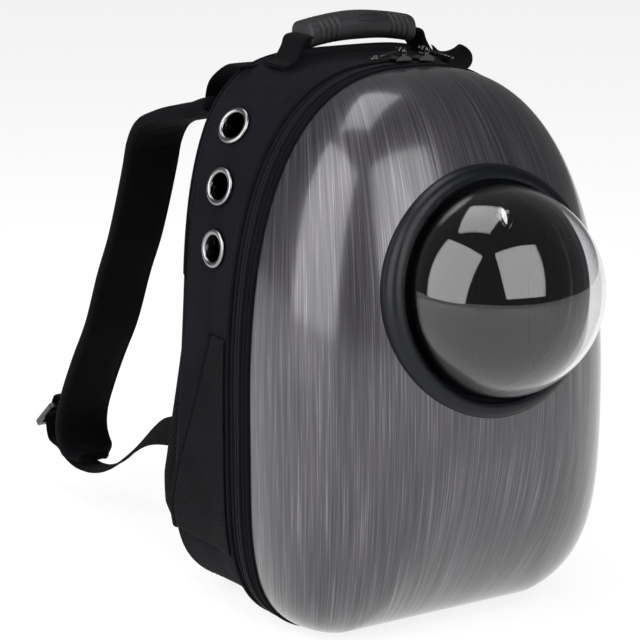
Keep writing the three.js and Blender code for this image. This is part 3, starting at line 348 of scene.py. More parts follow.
def fill_out(piece, held, pressure, most):
    """Lets the cloth over a foam piece swell between its seams; held has the rows of fixed points."""
    mesh = piece.data
    still = np.empty(3 * len(mesh.vertices))
    mesh.vertices.foreach_get("co", still)
    still = still.reshape(-1, 3)
    group = piece.vertex_groups.new(name="held")
    group.add([int(k) for k in np.flatnonzero(held)], 1.0, "REPLACE")
    cloth = piece.modifiers.new("cloth", "CLOTH")
    cloth.settings.quality = 4
    cloth.settings.vertex_group_mass = "held"
    cloth.settings.use_pressure = True
    cloth.settings.uniform_pressure_force = pressure
    cloth.settings.tension_stiffness = 12
    cloth.settings.bending_stiffness = 0.3
    cloth.settings.effector_weights.gravity = 0
    scene = bpy.context.scene
    for moment in range(1, SETTLE_STEPS + 1):
        scene.frame_set(moment)
    graph = bpy.context.evaluated_depsgraph_get()
    settled = piece.evaluated_get(graph).to_mesh()
    moved = np.empty(3 * len(settled.vertices))
    settled.vertices.foreach_get("co", moved)
    move = moved.reshape(-1, 3) - still
    far = np.linalg.norm(move, axis=1, keepdims=True)
    move *= np.minimum(1, most * MM / np.maximum(far, 1e-9))
    piece.modifiers.clear()
    piece.vertex_groups.clear()
    scene.frame_set(1)
    mesh.vertices.foreach_set("co", (still + move).ravel())
    mesh.update()
    return piece


def punch(piece, centre, axis, radius):
    """A round hole through a thin surface: faces inside go, and the edge is drawn to the circle."""
    work = bmesh.new()
    work.from_mesh(piece.data)
    middle, way = Vector(centre) * MM, Vector(axis).normalized()

    def offset(point):
        away = point - middle
        return away - way * away.dot(way), abs(away.dot(way))

    near = []
    for face in work.faces:
        flat = [offset(v.co) for v in face.verts]
        if all(o.length < radius * MM and depth < 3 * radius * MM for o, depth in flat):
            near.append(face)
    bmesh.ops.delete(work, geom=near, context="FACES")
    loose = [v for v in work.verts if not v.link_faces]
    bmesh.ops.delete(work, geom=loose, context="VERTS")
    for vertex in work.verts:
        away, depth = offset(vertex.co)
        if vertex.is_boundary and away.length < 1.4 * radius * MM and depth < 3 * radius * MM:
            vertex.co += away.normalized() * (radius * MM) - away
    work.to_mesh(piece.data)
    work.free()


def drill(piece, centre, axis, radius, depth):
    """A clean round hole right through a solid wall."""
    turn = Vector(axis).to_track_quat("Z", "Y").to_euler()
    bpy.ops.mesh.primitive_cylinder_add(vertices=160, radius=radius * MM, depth=depth * MM,
                                        location=Vector(centre) * MM, rotation=turn)
    tool = bpy.context.object
    hole = piece.modifiers.new("hole", "BOOLEAN")
    hole.operation = "DIFFERENCE"
    hole.solver = "EXACT"
    hole.object = tool
    apply_modifiers(piece)
    bpy.data.objects.remove(tool)
    piece.data.set_sharp_from_angle(angle=math.radians(50))
    return piece


def spin(name, profile, centre, ways, steps, low_edge=None, closed=True):
    """A body of revolution. ways are its right, up and out; low_edge is used where a height is None."""
    right, up, out = ways
    angles = 2 * math.pi * np.arange(steps) / steps
    around = np.multiply.outer(np.cos(angles), right) + np.multiply.outer(np.sin(angles), up)
    rows = []
    for radius, height in profile:
        heights = low_edge if height is None else np.full(steps, float(height))
        rows.append(centre + radius * around + np.multiply.outer(heights, out))
    return surface(name, np.array(rows), wrap_rows=closed, wrap_columns=True, cap=not closed)


def curve_points(path, steps_per_span):
    """The smooth path of the solids: a centripetal curve through the points."""
    path = np.asarray(path, dtype=float)
    before = 2 * path[0] - path[1]
    after = 2 * path[-1] - path[-2]
    full = np.vstack([before, path, after])
    result = []
    for k in range(len(path) - 1):
        p0, p1, p2, p3 = full[k:k + 4]
        d0, d1, d2 = (max(np.sum((b - a) ** 2) ** 0.25, 1e-4) for a, b in ((p0, p1), (p1, p2), (p2, p3)))
        t1 = ((p1 - p0) / d0 - (p2 - p0) / (d0 + d1) + (p2 - p1) / d1) * d1
        t2 = ((p2 - p1) / d1 - (p3 - p1) / (d1 + d2) + (p3 - p2) / d2) * d1
        spans = np.arange(steps_per_span) / steps_per_span
        for s in spans:
            result.append(p1 + t1 * s + (3 * (p2 - p1) - 2 * t1 - t2) * s ** 2
                          + (2 * (p1 - p2) + t1 + t2) * s ** 3)
    result.append(path[-1])
    return np.array(result)


def frames_along(centre, side):
    """Unit side and face directions along a path."""
    along = np.gradient(centre, axis=0)
    along /= np.linalg.norm(along, axis=1, keepdims=True)
    side = side - along * np.sum(side * along, axis=1, keepdims=True)
    side /= np.linalg.norm(side, axis=1, keepdims=True)
    return side, np.cross(along, side)


def sweep(name, centre, side, section):
    """A closed strip. The section is a list of (across, out), or a function of the share of the way."""
    side, face = frames_along(centre, side)
    rows = []
    for k, middle in enumerate(centre):
        points = section(k / (len(centre) - 1)) if callable(section) else section
        rows.append([middle + side[k] * a + face[k] * b for a, b in points])
    return surface(name, np.array(rows), wrap_columns=True, cap=True)


def rounded_bar(width, thick, power=6.0, steps=28):
    """Section of a flat band with round edges."""
    angle = 2 * math.pi * (np.arange(steps) + 0.5) / steps
    c, s = np.cos(angle), np.sin(angle)
    return [(width / 2 * math.copysign(abs(a) ** (2 / power), a),
             thick / 2 * math.copysign(abs(b) ** (2 / 2.6), b)) for a, b in zip(c, s)]


def spindles(name, places, look, size, thick):
    """Small closed spindles, one for each (middle, along, side, face)."""
    points, faces = [], []
    for middle, along, side, face in places:
        start = len(points)
        points += [middle - along * size / 2, middle + along * size / 2]
        points += [middle + r * thick / 2 for r in (side, face, -side, -face)]
        for j in range(4):
            a, b = start + 2 + j, start + 2 + (j + 1) % 4
            faces += [(start, b, a), (start + 1, a, b)]
    piece = finish_mesh(name, points, faces)
    outward(piece)
    return dress(piece, look)


def stitches(name, centre, side, look, pitch, size, thick=0.5, lift=0.15, crossing=False):
    """A row of threads along a path, or across it."""
    centre = np.asarray(centre, dtype=float)
    side, face = frames_along(centre, side)
    run = lengths(centre, False)
    places = []
    for at in np.arange(pitch / 2, run[-1], pitch):
        i = min(len(centre) - 2, max(0, int(np.searchsorted(run, at)) - 1))
        part = (at - run[i]) / max(1e-6, run[i + 1] - run[i])
        middle = lerp(centre[i], centre[i + 1], part) + face[i] * lift
        along = centre[i + 1] - centre[i]
        along /= np.linalg.norm(along)
        ways = (side[i], along) if crossing else (along, side[i])
        places.append((middle, *ways, face[i]))
    return spindles(name, places, look, size, thick)


# Materials
class Look:
    """A node material built step by step."""

    def __init__(self, name, color, roughness, metallic=0.0, **sockets):
        self.material = bpy.data.materials.new(name)
        self.material.use_nodes = True
        self.tree = self.material.node_tree
        self.shader = self.tree.nodes["Principled BSDF"]
        self.put(self.shader.inputs["Base Color"], color)
        self.put(self.shader.inputs["Roughness"], roughness)
        self.put(self.shader.inputs["Metallic"], metallic)
        for key, value in sockets.items():
            self.put(self.shader.inputs[key.replace("_", " ")], value)

    def put(self, socket, value):
        if isinstance(value, bpy.types.NodeSocket):
            self.tree.links.new(value, socket)
        elif isinstance(value, tuple) and len(value) == 3 and socket.type == "RGBA":
            socket.default_value = (*value, 1)
        else:
            socket.default_value = value

    def node(self, kind, **settings):
        made = self.tree.nodes.new(kind)
        for key, value in settings.items():
            setattr(made, key, value)
        return made

    def math(self, operation, a, b=0.0):
        made = self.node("ShaderNodeMath", operation=operation)
        self.put(made.inputs[0], a)
        self.put(made.inputs[1], b)
        return made.outputs[0]

    def place(self):
        """Object coordinates in metres."""
        return self.node("ShaderNodeTexCoord").outputs["Object"]

    def cloth_place(self):
        """The two millimetre coordinates of a fine surface's own map."""
        split = self.node("ShaderNodeSeparateXYZ")
        self.put(split.inputs[0], self.node("ShaderNodeUVMap", uv_map="mm").outputs["UV"])
        return split.outputs[0], split.outputs[1]

    def noise(self, vector, scale, detail=4.0, roughness=0.5):
        made = self.node("ShaderNodeTexNoise")
        self.put(made.inputs["Vector"], vector)
        made.inputs["Scale"].default_value = scale
        made.inputs["Detail"].default_value = detail
        made.inputs["Roughness"].default_value = roughness
        return made.outputs["Fac"]

    def ramp(self, factor, stops):
        made = self.node("ShaderNodeValToRGB")
        self.put(made.inputs["Fac"], factor)
        elements = made.color_ramp.elements
        while len(elements) < len(stops):
            elements.new(0.5)
        for element, (position, color) in zip(elements, stops):
            element.position = position
            element.color = (*color, 1)
        return made.outputs["Color"]

    def levels(self, factor, low, high, to_low=0.0, to_high=1.0):
        made = self.node("ShaderNodeMapRange")
        self.put(made.inputs["Value"], factor)
        for key, value in (("From Min", low), ("From Max", high), ("To Min", to_low), ("To Max", to_high)):
            made.inputs[key].default_value = value
        return made.outputs["Result"]

    def bump(self, height, distance, strength=1.0):
        made = self.node("ShaderNodeBump")
        self.put(made.inputs["Height"], height)
        made.inputs["Distance"].default_value = distance
        made.inputs["Strength"].default_value = strength
        previous = self.shader.inputs["Normal"]
        if previous.links:
            self.put(made.inputs["Normal"], previous.links[0].from_socket)
        self.put(previous, made.outputs["Normal"])
        return self

    def color(self, value):
        self.put(self.shader.inputs["Base Color"], value)

    def roughness(self, value):
        self.put(self.shader.inputs["Roughness"], value)


def woven_look(name, dark, light, pitch=(0.9, 0.9), diagonal=0.0, depth=0.00025):
    """Cloth with threads at the given pitch in millimetres."""
    roughness, spread = 0.85, 0.08
    look = Look(name, dark, roughness, Sheen_Weight=0.02, Sheen_Roughness=0.4, Specular_IOR_Level=0.03)
    across, along = look.cloth_place()
    lean = look.math("MULTIPLY", along, diagonal)
    u = look.math("MULTIPLY", look.math("ADD", across, lean), 2 * math.pi / pitch[0])
    v = look.math("MULTIPLY", along, 2 * math.pi / pitch[1])
    warp = look.math("MULTIPLY", look.math("SINE", u), look.math("SINE", v))
    threads = look.levels(warp, -1, 1)
    cloudy = look.noise(look.place(), 18, 5)
    fibre = look.noise(look.place(), 900, 2)
    height = look.math("ADD", threads, look.math("MULTIPLY", fibre, 0.5))
    tone = look.math("ADD", look.math("MULTIPLY", threads, 0.55), look.math("MULTIPLY", cloudy, 0.45))
    look.color(look.ramp(tone, [(0.2, dark), (0.85, light)]))
    look.roughness(look.levels(fibre, 0.3, 0.7, roughness - spread, roughness + spread))
    look.bump(height, depth, 0.8)
    return look.material


def shell_look():
    look = Look("brushed_shell", (0.08, 0.076, 0.083), 0.36, 0.6, Coat_Weight=1.0, Coat_Roughness=0.15)
    across, along = look.cloth_place()

    def streaks(width, length, detail):
        vector = look.node("ShaderNodeCombineXYZ")
        look.put(vector.inputs[0], look.math("DIVIDE", across, width))
        look.put(vector.inputs[1], look.math("DIVIDE", along, length))
        return look.noise(vector.outputs[0], 1.0, detail, 0.55)

    fine = streaks(0.7, 80, 2)
    medium = streaks(2.6, 140, 3)
    broad = streaks(26, 150, 2)
    streak = look.math("ADD", look.math("MULTIPLY", fine, 0.55), look.math("MULTIPLY", medium, 0.28))
    streak = look.math("ADD", streak, look.math("MULTIPLY", broad, 0.17))
    look.color(look.ramp(streak, [
        (0.36, (0.014, 0.013, 0.0152)),
        (0.46, (0.031, 0.0285, 0.033)),
        (0.54, (0.054, 0.05, 0.057)),
        (0.64, (0.14, 0.13, 0.146)),
    ]))
    look.roughness(look.levels(streak, 0.36, 0.64, 0.42, 0.3))
    look.bump(fine, 0.00004, 0.25)
    return look.material


def plain_look(name, color, roughness, metallic=0.0, grain=900, depth=0.00003, spread=0.08, **sockets):
    """Moulded plastic, rubber or metal with a fine grain and slightly uneven gloss."""
    look = Look(name, color, roughness, metallic, **sockets)
    fine = look.noise(look.place(), grain, 3)
    slow = look.noise(look.place(), 30, 4)
    look.roughness(look.levels(slow, 0.3, 0.7, max(0.02, roughness - spread), roughness + spread))
    darker = tuple(0.8 * value for value in color)
    lighter = tuple(min(1, 1.2 * value) for value in color)
    look.color(look.ramp(slow, [(0.3, darker), (0.7, lighter)]))
    look.bump(fine, depth, 0.6)
    return look.material


LOOKS = {
    "shell": shell_look(),
    "lining": plain_look("dark_lining", (0.0015, 0.0015, 0.0018), 0.9, grain=500, Specular_IOR_Level=0.05),
    "ring": plain_look("satin_ring", (0.003, 0.0036, 0.0055), 0.38, Coat_Weight=0.05, Coat_Roughness=0.2,
                       Specular_IOR_Level=0.22),
    "dome": Look("clear_dome", (0.88, 0.885, 0.9), 0.0, Transmission_Weight=1.0, IOR=1.49).material,
    "cloth": woven_look("oxford_cloth", (0.0026, 0.0026, 0.004), (0.0105, 0.0105, 0.0145)),
    "binding": woven_look("edge_binding", (0.0018, 0.0018, 0.0026), (0.006, 0.006, 0.008),
                          pitch=(0.7, 1.1)),
    "tape": woven_look("zip_tape", (0.002, 0.002, 0.003), (0.007, 0.007, 0.009), pitch=(0.8, 1.2)),
    "coil": plain_look("zip_coil", (0.006, 0.006, 0.007), 0.35, Specular_IOR_Level=0.4),
    "webbing": woven_look("webbing", (0.0016, 0.0016, 0.002), (0.006, 0.006, 0.0072),
                          pitch=(1.6, 1.3), diagonal=0.5, depth=0.0004),
    "strap": woven_look("strap_cloth", (0.0008, 0.0008, 0.001), (0.0034, 0.0034, 0.004),
                        pitch=(1.4, 1.4), diagonal=0.6, depth=0.0004),
    "air_mesh": woven_look("air_mesh", (0.001, 0.001, 0.0013), (0.009, 0.009, 0.011),
                           pitch=(2.8, 2.4), diagonal=0.5, depth=0.0008),
    "pocket": woven_look("pocket_mesh", (0.0005, 0.0005, 0.0008), (0.014, 0.014, 0.016),
                         pitch=(2.9, 2.5), diagonal=0.6, depth=0.0006),
    "thread": plain_look("thread", (0.012, 0.012, 0.014), 0.7, Specular_IOR_Level=0.3),
    "grip": plain_look("rubber_grip", (0.011, 0.0115, 0.013), 0.5, depth=0.00006, Specular_IOR_Level=0.35),
    "plastic": plain_look("black_plastic", (0.003, 0.003, 0.0035), 0.35),
    "gloss": plain_look("gloss_black", (0.002, 0.002, 0.0025), 0.14, spread=0.04, Coat_Weight=0.5,
                        Coat_Roughness=0.05),
    "steel": plain_look("bright_steel", (0.27, 0.265, 0.27), 0.24, 1.0),
}


STREAK_AXIS_Y = 90.0       # the printed streaks lie in upright planes through this axis
STREAK_RADIUS = 230.0


def lay_streaks(piece):
    """Maps the shell so that its streaks run upright all round it."""
    mesh = piece.data
    spots = np.empty(3 * len(mesh.vertices))
    mesh.vertices.foreach_get("co", spots)
    spots = spots.reshape(-1, 3) / MM
    around = STREAK_RADIUS * np.arctan2(spots[:, 0], STREAK_AXIS_Y - spots[:, 1])
    corners = np.empty(len(mesh.loops), dtype=np.int32)
    mesh.loops.foreach_get("vertex_index", corners)
    flat = np.stack([around, spots[:, 2]], axis=1)[corners]
    mesh.uv_layers["mm"].data.foreach_set("uv", flat.astype(np.float32).ravel())


# Front shell: one skin in rings from the rim to the middle, then its wall
def make_shell():
    rim = outline(0)
    turn = np.linspace(0, math.pi / 2, 84)[:-1]
    share = np.cos(turn) ** (2 / DISH_POWER)
    rows = []
    for s in share:
        x = rim[:, 0] * s
        z = lerp(DISH_CENTRE_Z, rim[:, 1], s)
        rows.append(np.stack([x, RIM_Y - dish_depth(s, z), z], axis=1))
    piece = surface("shell", np.array(rows), wrap_columns=True)
    lay_streaks(piece)
    dress(piece, LOOKS["shell"], ["front_shell"], inner=LOOKS["lining"])
    thicken(piece, SHELL_WALL, inner_slot=1)
    return drill(piece, WINDOW_CENTRE, WINDOW_OUT, SHELL_HOLE_RADIUS, DRILL_DEPTH)


def arc(centre, radii, start, end, steps):
    angle = np.radians(np.linspace(start, end, steps))
    return [(centre[0] + radii[0] * math.cos(a), centre[1] + radii[1] * math.sin(a)) for a in angle]


def make_ring():
    steps = 192
    angles = 2 * math.pi * np.arange(steps) / steps
    seat = np.array([seat_height(RING_RADIUS, a) for a in angles]) - SEAT_SINK
    bore = DOME_RADIUS + GAP
    profile = [(bore - 2.4, 1.0), (bore - 2.4, -12.0), (SLEEVE_RADIUS, -12.0), (SLEEVE_RADIUS, None)]
    profile += [(RING_RADIUS, None)]
    profile += arc((bore + 5.2, 1.4), (RING_RADIUS - bore - 5.2, RING_HEIGHT - 1.4), 0, 90, 18)
    profile += arc((bore + 5.2, RING_HEIGHT - 2.0), (2.6, 2.0), 90, 180, 8)[1:]
    profile += [(bore + 0.6, 5.6), (bore, 5.2), (bore, 1.0)]
    piece = spin("ring", profile, WINDOW_CENTRE, WINDOW_WAYS, steps, seat)
    return dress(piece, LOOKS["ring"], ["window_ring"])


def make_dome():
    inner = DOME_RADIUS - DOME_WALL
    profile = arc((0, DOME_BASE), (DOME_RADIUS, DOME_RADIUS), 89.4, 0, 60)
    flange = DOME_RADIUS + DOME_FLANGE
    profile += [(DOME_RADIUS, 4.7), (flange, 4.7), (flange, 1.3), (inner, 1.3)]
    profile += arc((0, DOME_BASE), (inner, inner), 0, 89.4, 60)
    piece = spin("dome", profile, WINDOW_CENTRE, WINDOW_WAYS, 144, closed=False)
    return dress(piece, LOOKS["dome"], ["window_dome"])


def band_rows(start_y, section):
    rows = []
    for across, proud in section:
        ring = grown(0, proud)
        rows.append(np.stack([ring[:, 0], np.full(AROUND, start_y + across), ring[:, 1]], axis=1))
    return np.array(rows)


def make_piping(name, start_y, width, node):
    half = width / 2
    section = [(0.0, -CLOTH), (0.0, -0.2)]
    section += [(half - half * math.cos(a), PIPING_PROUD * math.sin(a) ** 0.8)
                for a in np.linspace(0.12, math.pi - 0.12, 12)]
    section += [(width, -0.2), (width, -CLOTH)]
    piece = surface(name, band_rows(start_y, section), wrap_rows=True, wrap_columns=True)
    return dress(piece, LOOKS["binding"], [node])


def make_zip():
    middle = ZIP_BAND_WIDTH / 2
    half = COIL_WIDTH / 2
    section = [(0.0, -CLOTH), (0.0, 0.0), (2.6, 0.05), (3.0, 0.5), (3.4, 0.5), (3.8, 0.05),
               (middle - half - 1.2, 0.1), (middle - half - 0.8, 0.9), (middle - half, 1.3),
               (middle - 0.5, 1.35), (middle - 0.3, 0.9), (middle + 0.3, 0.9), (middle + 0.5, 1.35),
               (middle + half, 1.3), (middle + half + 0.8, 0.9), (middle + half + 1.2, 0.1),
               (18.2, 0.05), (18.6, 0.5), (19.0, 0.5), (19.4, 0.05), (ZIP_BAND_WIDTH, 0.0),
               (ZIP_BAND_WIDTH, -CLOTH)]
    piece = surface("zip_tape", band_rows(ZIP_BAND_Y, section), wrap_rows=True, wrap_columns=True)
    dress(piece, LOOKS["tape"], ["zip_band"])
    flat = grown(0, 1.35)[::-1]
    for row, across in (("front", middle - 1.5), ("back", middle + 1.5)):
        path = np.stack([flat[:, 0], np.full(AROUND, ZIP_BAND_Y + across), flat[:, 1]], axis=1)
        stitches(f"zip_teeth_{row}", np.vstack([path, path[:1]]), BACKWARD, LOOKS["coil"],
                 pitch=1.5, size=2.5, thick=0.85, lift=0, crossing=True)
    return piece


# Zip sliders and pulls
SLIDER_X = {"left": 0.5, "right": 20.5}
SLIDER_LENGTH, SLIDER_WIDTH, SLIDER_HEIGHT = 13.0, 9.0, 4.5
PIN_HEIGHT = 3.6              # pin's centre above the slider's top
PULL_LENGTH, PULL_RING_RADIUS, PULL_RING_HOLE = 27.0, 4.6, 2.6
PULL_DIP = {"left": math.radians(9), "right": math.radians(18)}
PULL_EYE = 1.95               # middle of the eye's wall, from the pin's centre
COIL_Y = ZIP_BAND_Y + ZIP_BAND_WIDTH / 2


def pin_centre(name):
    base = float(top_z(0, SLIDER_X[name] - SLIDER_LENGTH / 2)) + COIL_PROUD + GAP
    return np.array([SLIDER_X[name], COIL_Y, base + SLIDER_HEIGHT + PIN_HEIGHT])


def make_slider(name):
    """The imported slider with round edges, and a round knob on each end of its pin."""
    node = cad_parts[f"zip_slider_{name}"]
    piece = bpy.data.objects.new(f"slider_{name}", node.data.copy())
    piece.matrix_world = node.matrix_world.copy()
    bpy.context.collection.objects.link(piece)
    soften(piece, 0.5, 3)
    piece.data.shade_smooth()
    dress(piece, LOOKS["gloss"], [f"zip_slider_{name}"])
    for end in (-1, 1):
        knob = arc((0, 0), (1.9, 1.3), 88, -88, 14)
        middle = pin_centre(name) + end * (SLIDER_WIDTH / 2 + 0.2) * BACKWARD
        bead = spin(f"slider_knob_{name}_{'back' if end > 0 else 'front'}", knob, middle,
                    (ACROSS, UPWARD, end * BACKWARD), 28, closed=False)
        dress(bead, LOOKS["gloss"])
    return piece


def make_pull(name, side):
    """An eye around the pin, a tapered bar and a flat ring, all in one piece."""
    dip = PULL_DIP[name]
    way = np.array([side * math.cos(dip), 0, -math.sin(dip)])
    wide = BACKWARD
    up = np.cross(wide, way)
    up *= math.copysign(1, up[2])
    pin = pin_centre(name)
    body = f"pull_{name}"

    def hoop(label, middle, radius, axis_a, axis_b, axis_c, tube, deep):
        turn = 2 * math.pi * np.arange(40) / 40
        ring = 2 * math.pi * np.arange(14) / 14
        rows = []
        for t in turn:
            out = axis_a * math.cos(t) + axis_b * math.sin(t)
            rows.append([middle + out * (radius + tube * math.cos(a)) + axis_c * deep * math.sin(a)
                         for a in ring])
        part = surface(label, np.array(rows), wrap_rows=True, wrap_columns=True)
        return dress(part, LOOKS["gloss"], (), body)

    hoop(f"pull_eye_{name}", pin, PULL_EYE, way, up, wide, 0.6, 1.9)
    reach = PULL_LENGTH - PULL_RING_RADIUS
    middle = (PULL_RING_RADIUS + PULL_RING_HOLE) / 2
    hoop(f"pull_ring_{name}", pin + way * reach, middle, way, wide, up, 1.0, 0.9)
    start, end = PULL_EYE + 0.2, reach - middle
    stops = np.linspace(start, end, 40)
    rows = []
    for at in stops:
        part = (at - start) / (end - start)
        half = 1.3 + 0.75 * math.sin(math.pi * part) ** 0.7
        ring = rounded_bar(2 * half, 1.7, power=3.0, steps=24)
        rows.append([pin + way * at + wide * a + up * b for a, b in ring])
    bar = surface(f"pull_bar_{name}", np.array(rows), wrap_columns=True, cap=True)
    return dress(bar, LOOKS["gloss"], [f"zip_pull_{name}"], body)


# Cloth bag
BAG_NODES = ["gusset_top", "gusset_base", "gusset_left", "gusset_right", "bag_back"]


def gusset_dent(share):
    stations = [0, 0.12, 0.24, 0.38, 0.5, 0.64, 0.8, 1]
    depths = [0, 0.08, 0.45, 1, 0.6, 0.2, 0, 0]
    return np.interp(share, stations, depths)


def valley(z):
    return VALLEY_DEPTH * smooth(z, 60, 160) * (1 - smooth(z, SHELL_HEIGHT - 90, SHELL_HEIGHT - 20))


def wrinkles(x, y, z):
    """Soft creases of the cloth, in millimetres, stronger over the top and with folds beside the handle."""
    waves = (np.sin(0.11 * z + 0.05 * y + 1.3) * np.sin(0.07 * y - 0.02 * z + 0.4)
             + 0.6 * np.sin(0.19 * y + 0.045 * x + 0.03 * z + 2.1) * np.sin(0.033 * x + 0.8)
             + 0.4 * np.sin(0.31 * y - 0.05 * x + 0.4) * np.sin(0.05 * z + 0.11 * x))
    high = smooth(z, 225, 300)
    near_holes = np.exp(-((y - 0.0) / 22) ** 2) * smooth(z, 250, 265) * (1 - smooth(z, 380, 390))
    beside = np.exp(-((np.abs(x) - HANDLE_LANDING - 14) / 24) ** 2) * np.exp(-((y - HANDLE_Y) / 34) ** 2)
    folds = (np.sin(0.3 * np.abs(x) + 0.16 * y + 0.5) + 0.5 * np.sin(0.21 * y - 0.45 * np.abs(x)) - 1.5)
    return (waves - 1.5) * lerp(0.2, 0.75, high) * (1 - near_holes) + folds * beside * smooth(z, 330, 375)


def bag_rows():
    rows = []
    for share in np.linspace(0, 0.93, 54):
        base = outline(share)
        y = gusset_y(share, base[:, 1])
        fade = smooth(share, 0, 0.08) * (1 - smooth(share, 0.85, 0.93))
        dent = gusset_dent(share) * valley(base[:, 1])
        crease = wrinkles(base[:, 0], y, base[:, 1]) * smooth(base[:, 1], 0, 30)
        ring = grown(share, fade * crease - dent)
        rows.append(np.stack([ring[:, 0], y, ring[:, 1]], axis=1))
    r = BACK_EDGE_RADIUS
    for angle in np.radians(np.linspace(0, 90, 7)):
        ring = grown(1, -r * (1 - math.cos(angle)))
        depth = -r * (1 - math.sin(angle))
        y = gusset_y(1, ring[:, 1]) + depth
        rows.append(np.stack([ring[:, 0], y, ring[:, 1]], axis=1))
    edge = rows[-1]
    middle = BACK_HEIGHT / 2
    for part in np.linspace(0.93, 0.04, 14):
        z = lerp(middle, edge[:, 2], part)
        rows.append(np.stack([edge[:, 0] * part, gusset_y(1, z), z], axis=1))
    return np.array(rows)


def make_seam_stitches():
    """Thread lines beside the seams of the gusset."""
    for name, share in (("front", 0.045), ("back", 0.87)):
        base = outline(share)[::-1]
        flat = grown(share, 0.2)[::-1]
        path = np.stack([flat[:, 0], gusset_y(share, base[:, 1]), flat[:, 1]], axis=1)
        path = path[path[:, 2] > 6]
        start = int(np.argmax(np.linalg.norm(np.diff(path, axis=0), axis=1))) + 1
        path = np.roll(path, -start, axis=0)
        stitches(f"gusset_stitch_{name}", path, BACKWARD, LOOKS["thread"], pitch=4.2, size=2.9)


def grommet_place(height, share, side):
    def on_side(s, z):
        return np.array([side_x(s, z), gusset_y(s, z), z])

    near = GROMMET_RADIUS / 2
    near_share = near / GUSSET_DEPTH
    up = on_side(share, height + near) - on_side(share, height - near)
    back = on_side(share + near_share, height) - on_side(share - near_share, height)
    normal = np.cross(back, up)
    normal /= np.linalg.norm(normal)
    flip = np.array([side, 1, 1])
    return on_side(share, height) * flip, normal * flip


def make_bag():
    piece = surface("bag", bag_rows(), wrap_columns=True)
    dress(piece, LOOKS["cloth"], BAG_NODES, inner=LOOKS["lining"])
    for side in SIDES.values():
        for height, share in GROMMETS:
            centre, normal = grommet_place(height, share, side)
            punch(piece, centre, normal, GROMMET_BARREL + 1)
    return thicken(piece, CLOTH, inner_slot=1)


def make_grommet(name, height, share, side):
    centre, normal = grommet_place(height, share, side)
    right = np.cross([0, 0, 1.0], normal)
    right /= np.linalg.norm(right)
    up = np.cross(normal, right)
    profile = [(GROMMET_HOLE, -6.6), (GROMMET_RADIUS - 1, -5.6), (GROMMET_BARREL, -5.4)]
    profile += [(GROMMET_BARREL, 0.5)]
    profile += [(GROMMET_RADIUS, 0.5)] + arc((12.2, 0.7), (1.8, 1.2), 10, 90, 6)
    profile += arc((12.2, 0.6), (2.2, 1.3), 90, 175, 7)[1:]
    piece = spin(name, profile, centre, (right, up, normal), 48)
    return dress(piece, LOOKS["steel"], [name])


# Back pad
PAD_ROWS = np.array([
    # height, thick, inset
    (0, 0.36, 0.5), (0.02, 0.68, 0.1), (0.06, 0.97, 0), (0.12, 1, 0), (0.25, 0.73, 0), (0.38, 0.42, 0),
    (0.47, 0.22, 0), (0.7, 0.14, 0), (0.95, 0.13, 0), (1, 0.07, 0.2),
])


PAD_SEAMS = (0.26, 0.47, 0.68, 0.86)     # quilted across at these shares of the height


def pad_point(height, across, rear):
    z = lerp(PAD_BOTTOM, PAD_TOP, height)
    inset = np.interp(height, PAD_ROWS[:, 0], PAD_ROWS[:, 2])
    thick = np.interp(height, PAD_ROWS[:, 0], PAD_ROWS[:, 1])
    half = side_x(1, z) - PAD_EDGE_INSET - PAD_CORNER_INSET * inset
    edge = np.interp(abs(across), [0, 0.5, 0.9, 0.96, 1], [0.93, 1, 0.94, 0.86, 0.62])
    lift = PAD_THICK * thick * edge if rear else GAP
    return (half * across, gusset_y(1, z) + lift, z)


def make_pad():
    heights = np.concatenate([np.linspace(0, 0.06, 8)[:-1], np.linspace(0.06, 0.97, 70), [0.985, 1]])
    across = np.concatenate([[-1, -0.985], np.linspace(-0.96, 0.96, 60), [0.985, 1]])
    rear = [[pad_point(h, a, True) for a in across] for h in heights]
    front = [[pad_point(h, a, False) for a in across[::-1]] for h in heights]
    rows = np.concatenate([np.array(rear), np.array(front)], axis=1)
    piece = surface("pad", rows, wrap_columns=True, cap=True)
    dress(piece, LOOKS["air_mesh"], ["back_pad"])
    high, wide = np.meshgrid(heights, np.concatenate([across, across[::-1]]), indexing="ij")
    seam = np.isin(np.arange(len(heights)), [0, len(heights) - 1])[:, None] | (np.abs(wide) > 0.96)
    for row in PAD_SEAMS:
        seam |= np.abs(high - row) < 0.006
    front_side = np.arange(2 * len(across))[None, :] >= len(across)
    fill_out(piece, (seam | front_side).ravel(), 2.5, 3.0)
    return piece


# Shoulder straps: out and down as shares of the reach and the drop
STRAP_ROUTE = [
    (-0.06, -0.006), (0.083, 0.012), (0.159, 0.032), (0.326, 0.06), (0.424, 0.091), (0.473, 0.135),
    (0.504, 0.197), (0.553, 0.288), (0.61, 0.382), (0.682, 0.476), (0.773, 0.612), (0.864, 0.712),
    (0.943, 0.806), (0.992, 0.88), (0.998, 0.932), (0.965, 0.97), (0.92, 0.984),
]


def strap_path(side, skip=0):
    path = [(side * STRAP_X, BACK_Y + out * STRAP_REACH, STRAP_ROOT_Z - down * STRAP_DROP)
            for out, down in STRAP_ROUTE]
    return curve_points(path, 12)[skip:]


def strap_scale(t):
    root = lerp(0.78, 1, smooth(t, 0, 0.16))
    tip = 1 - 0.4 * smooth(t, 0.93, 1)
    thin = 1 - 0.35 * smooth(t, 0.95, 1)
    return root * tip, thin


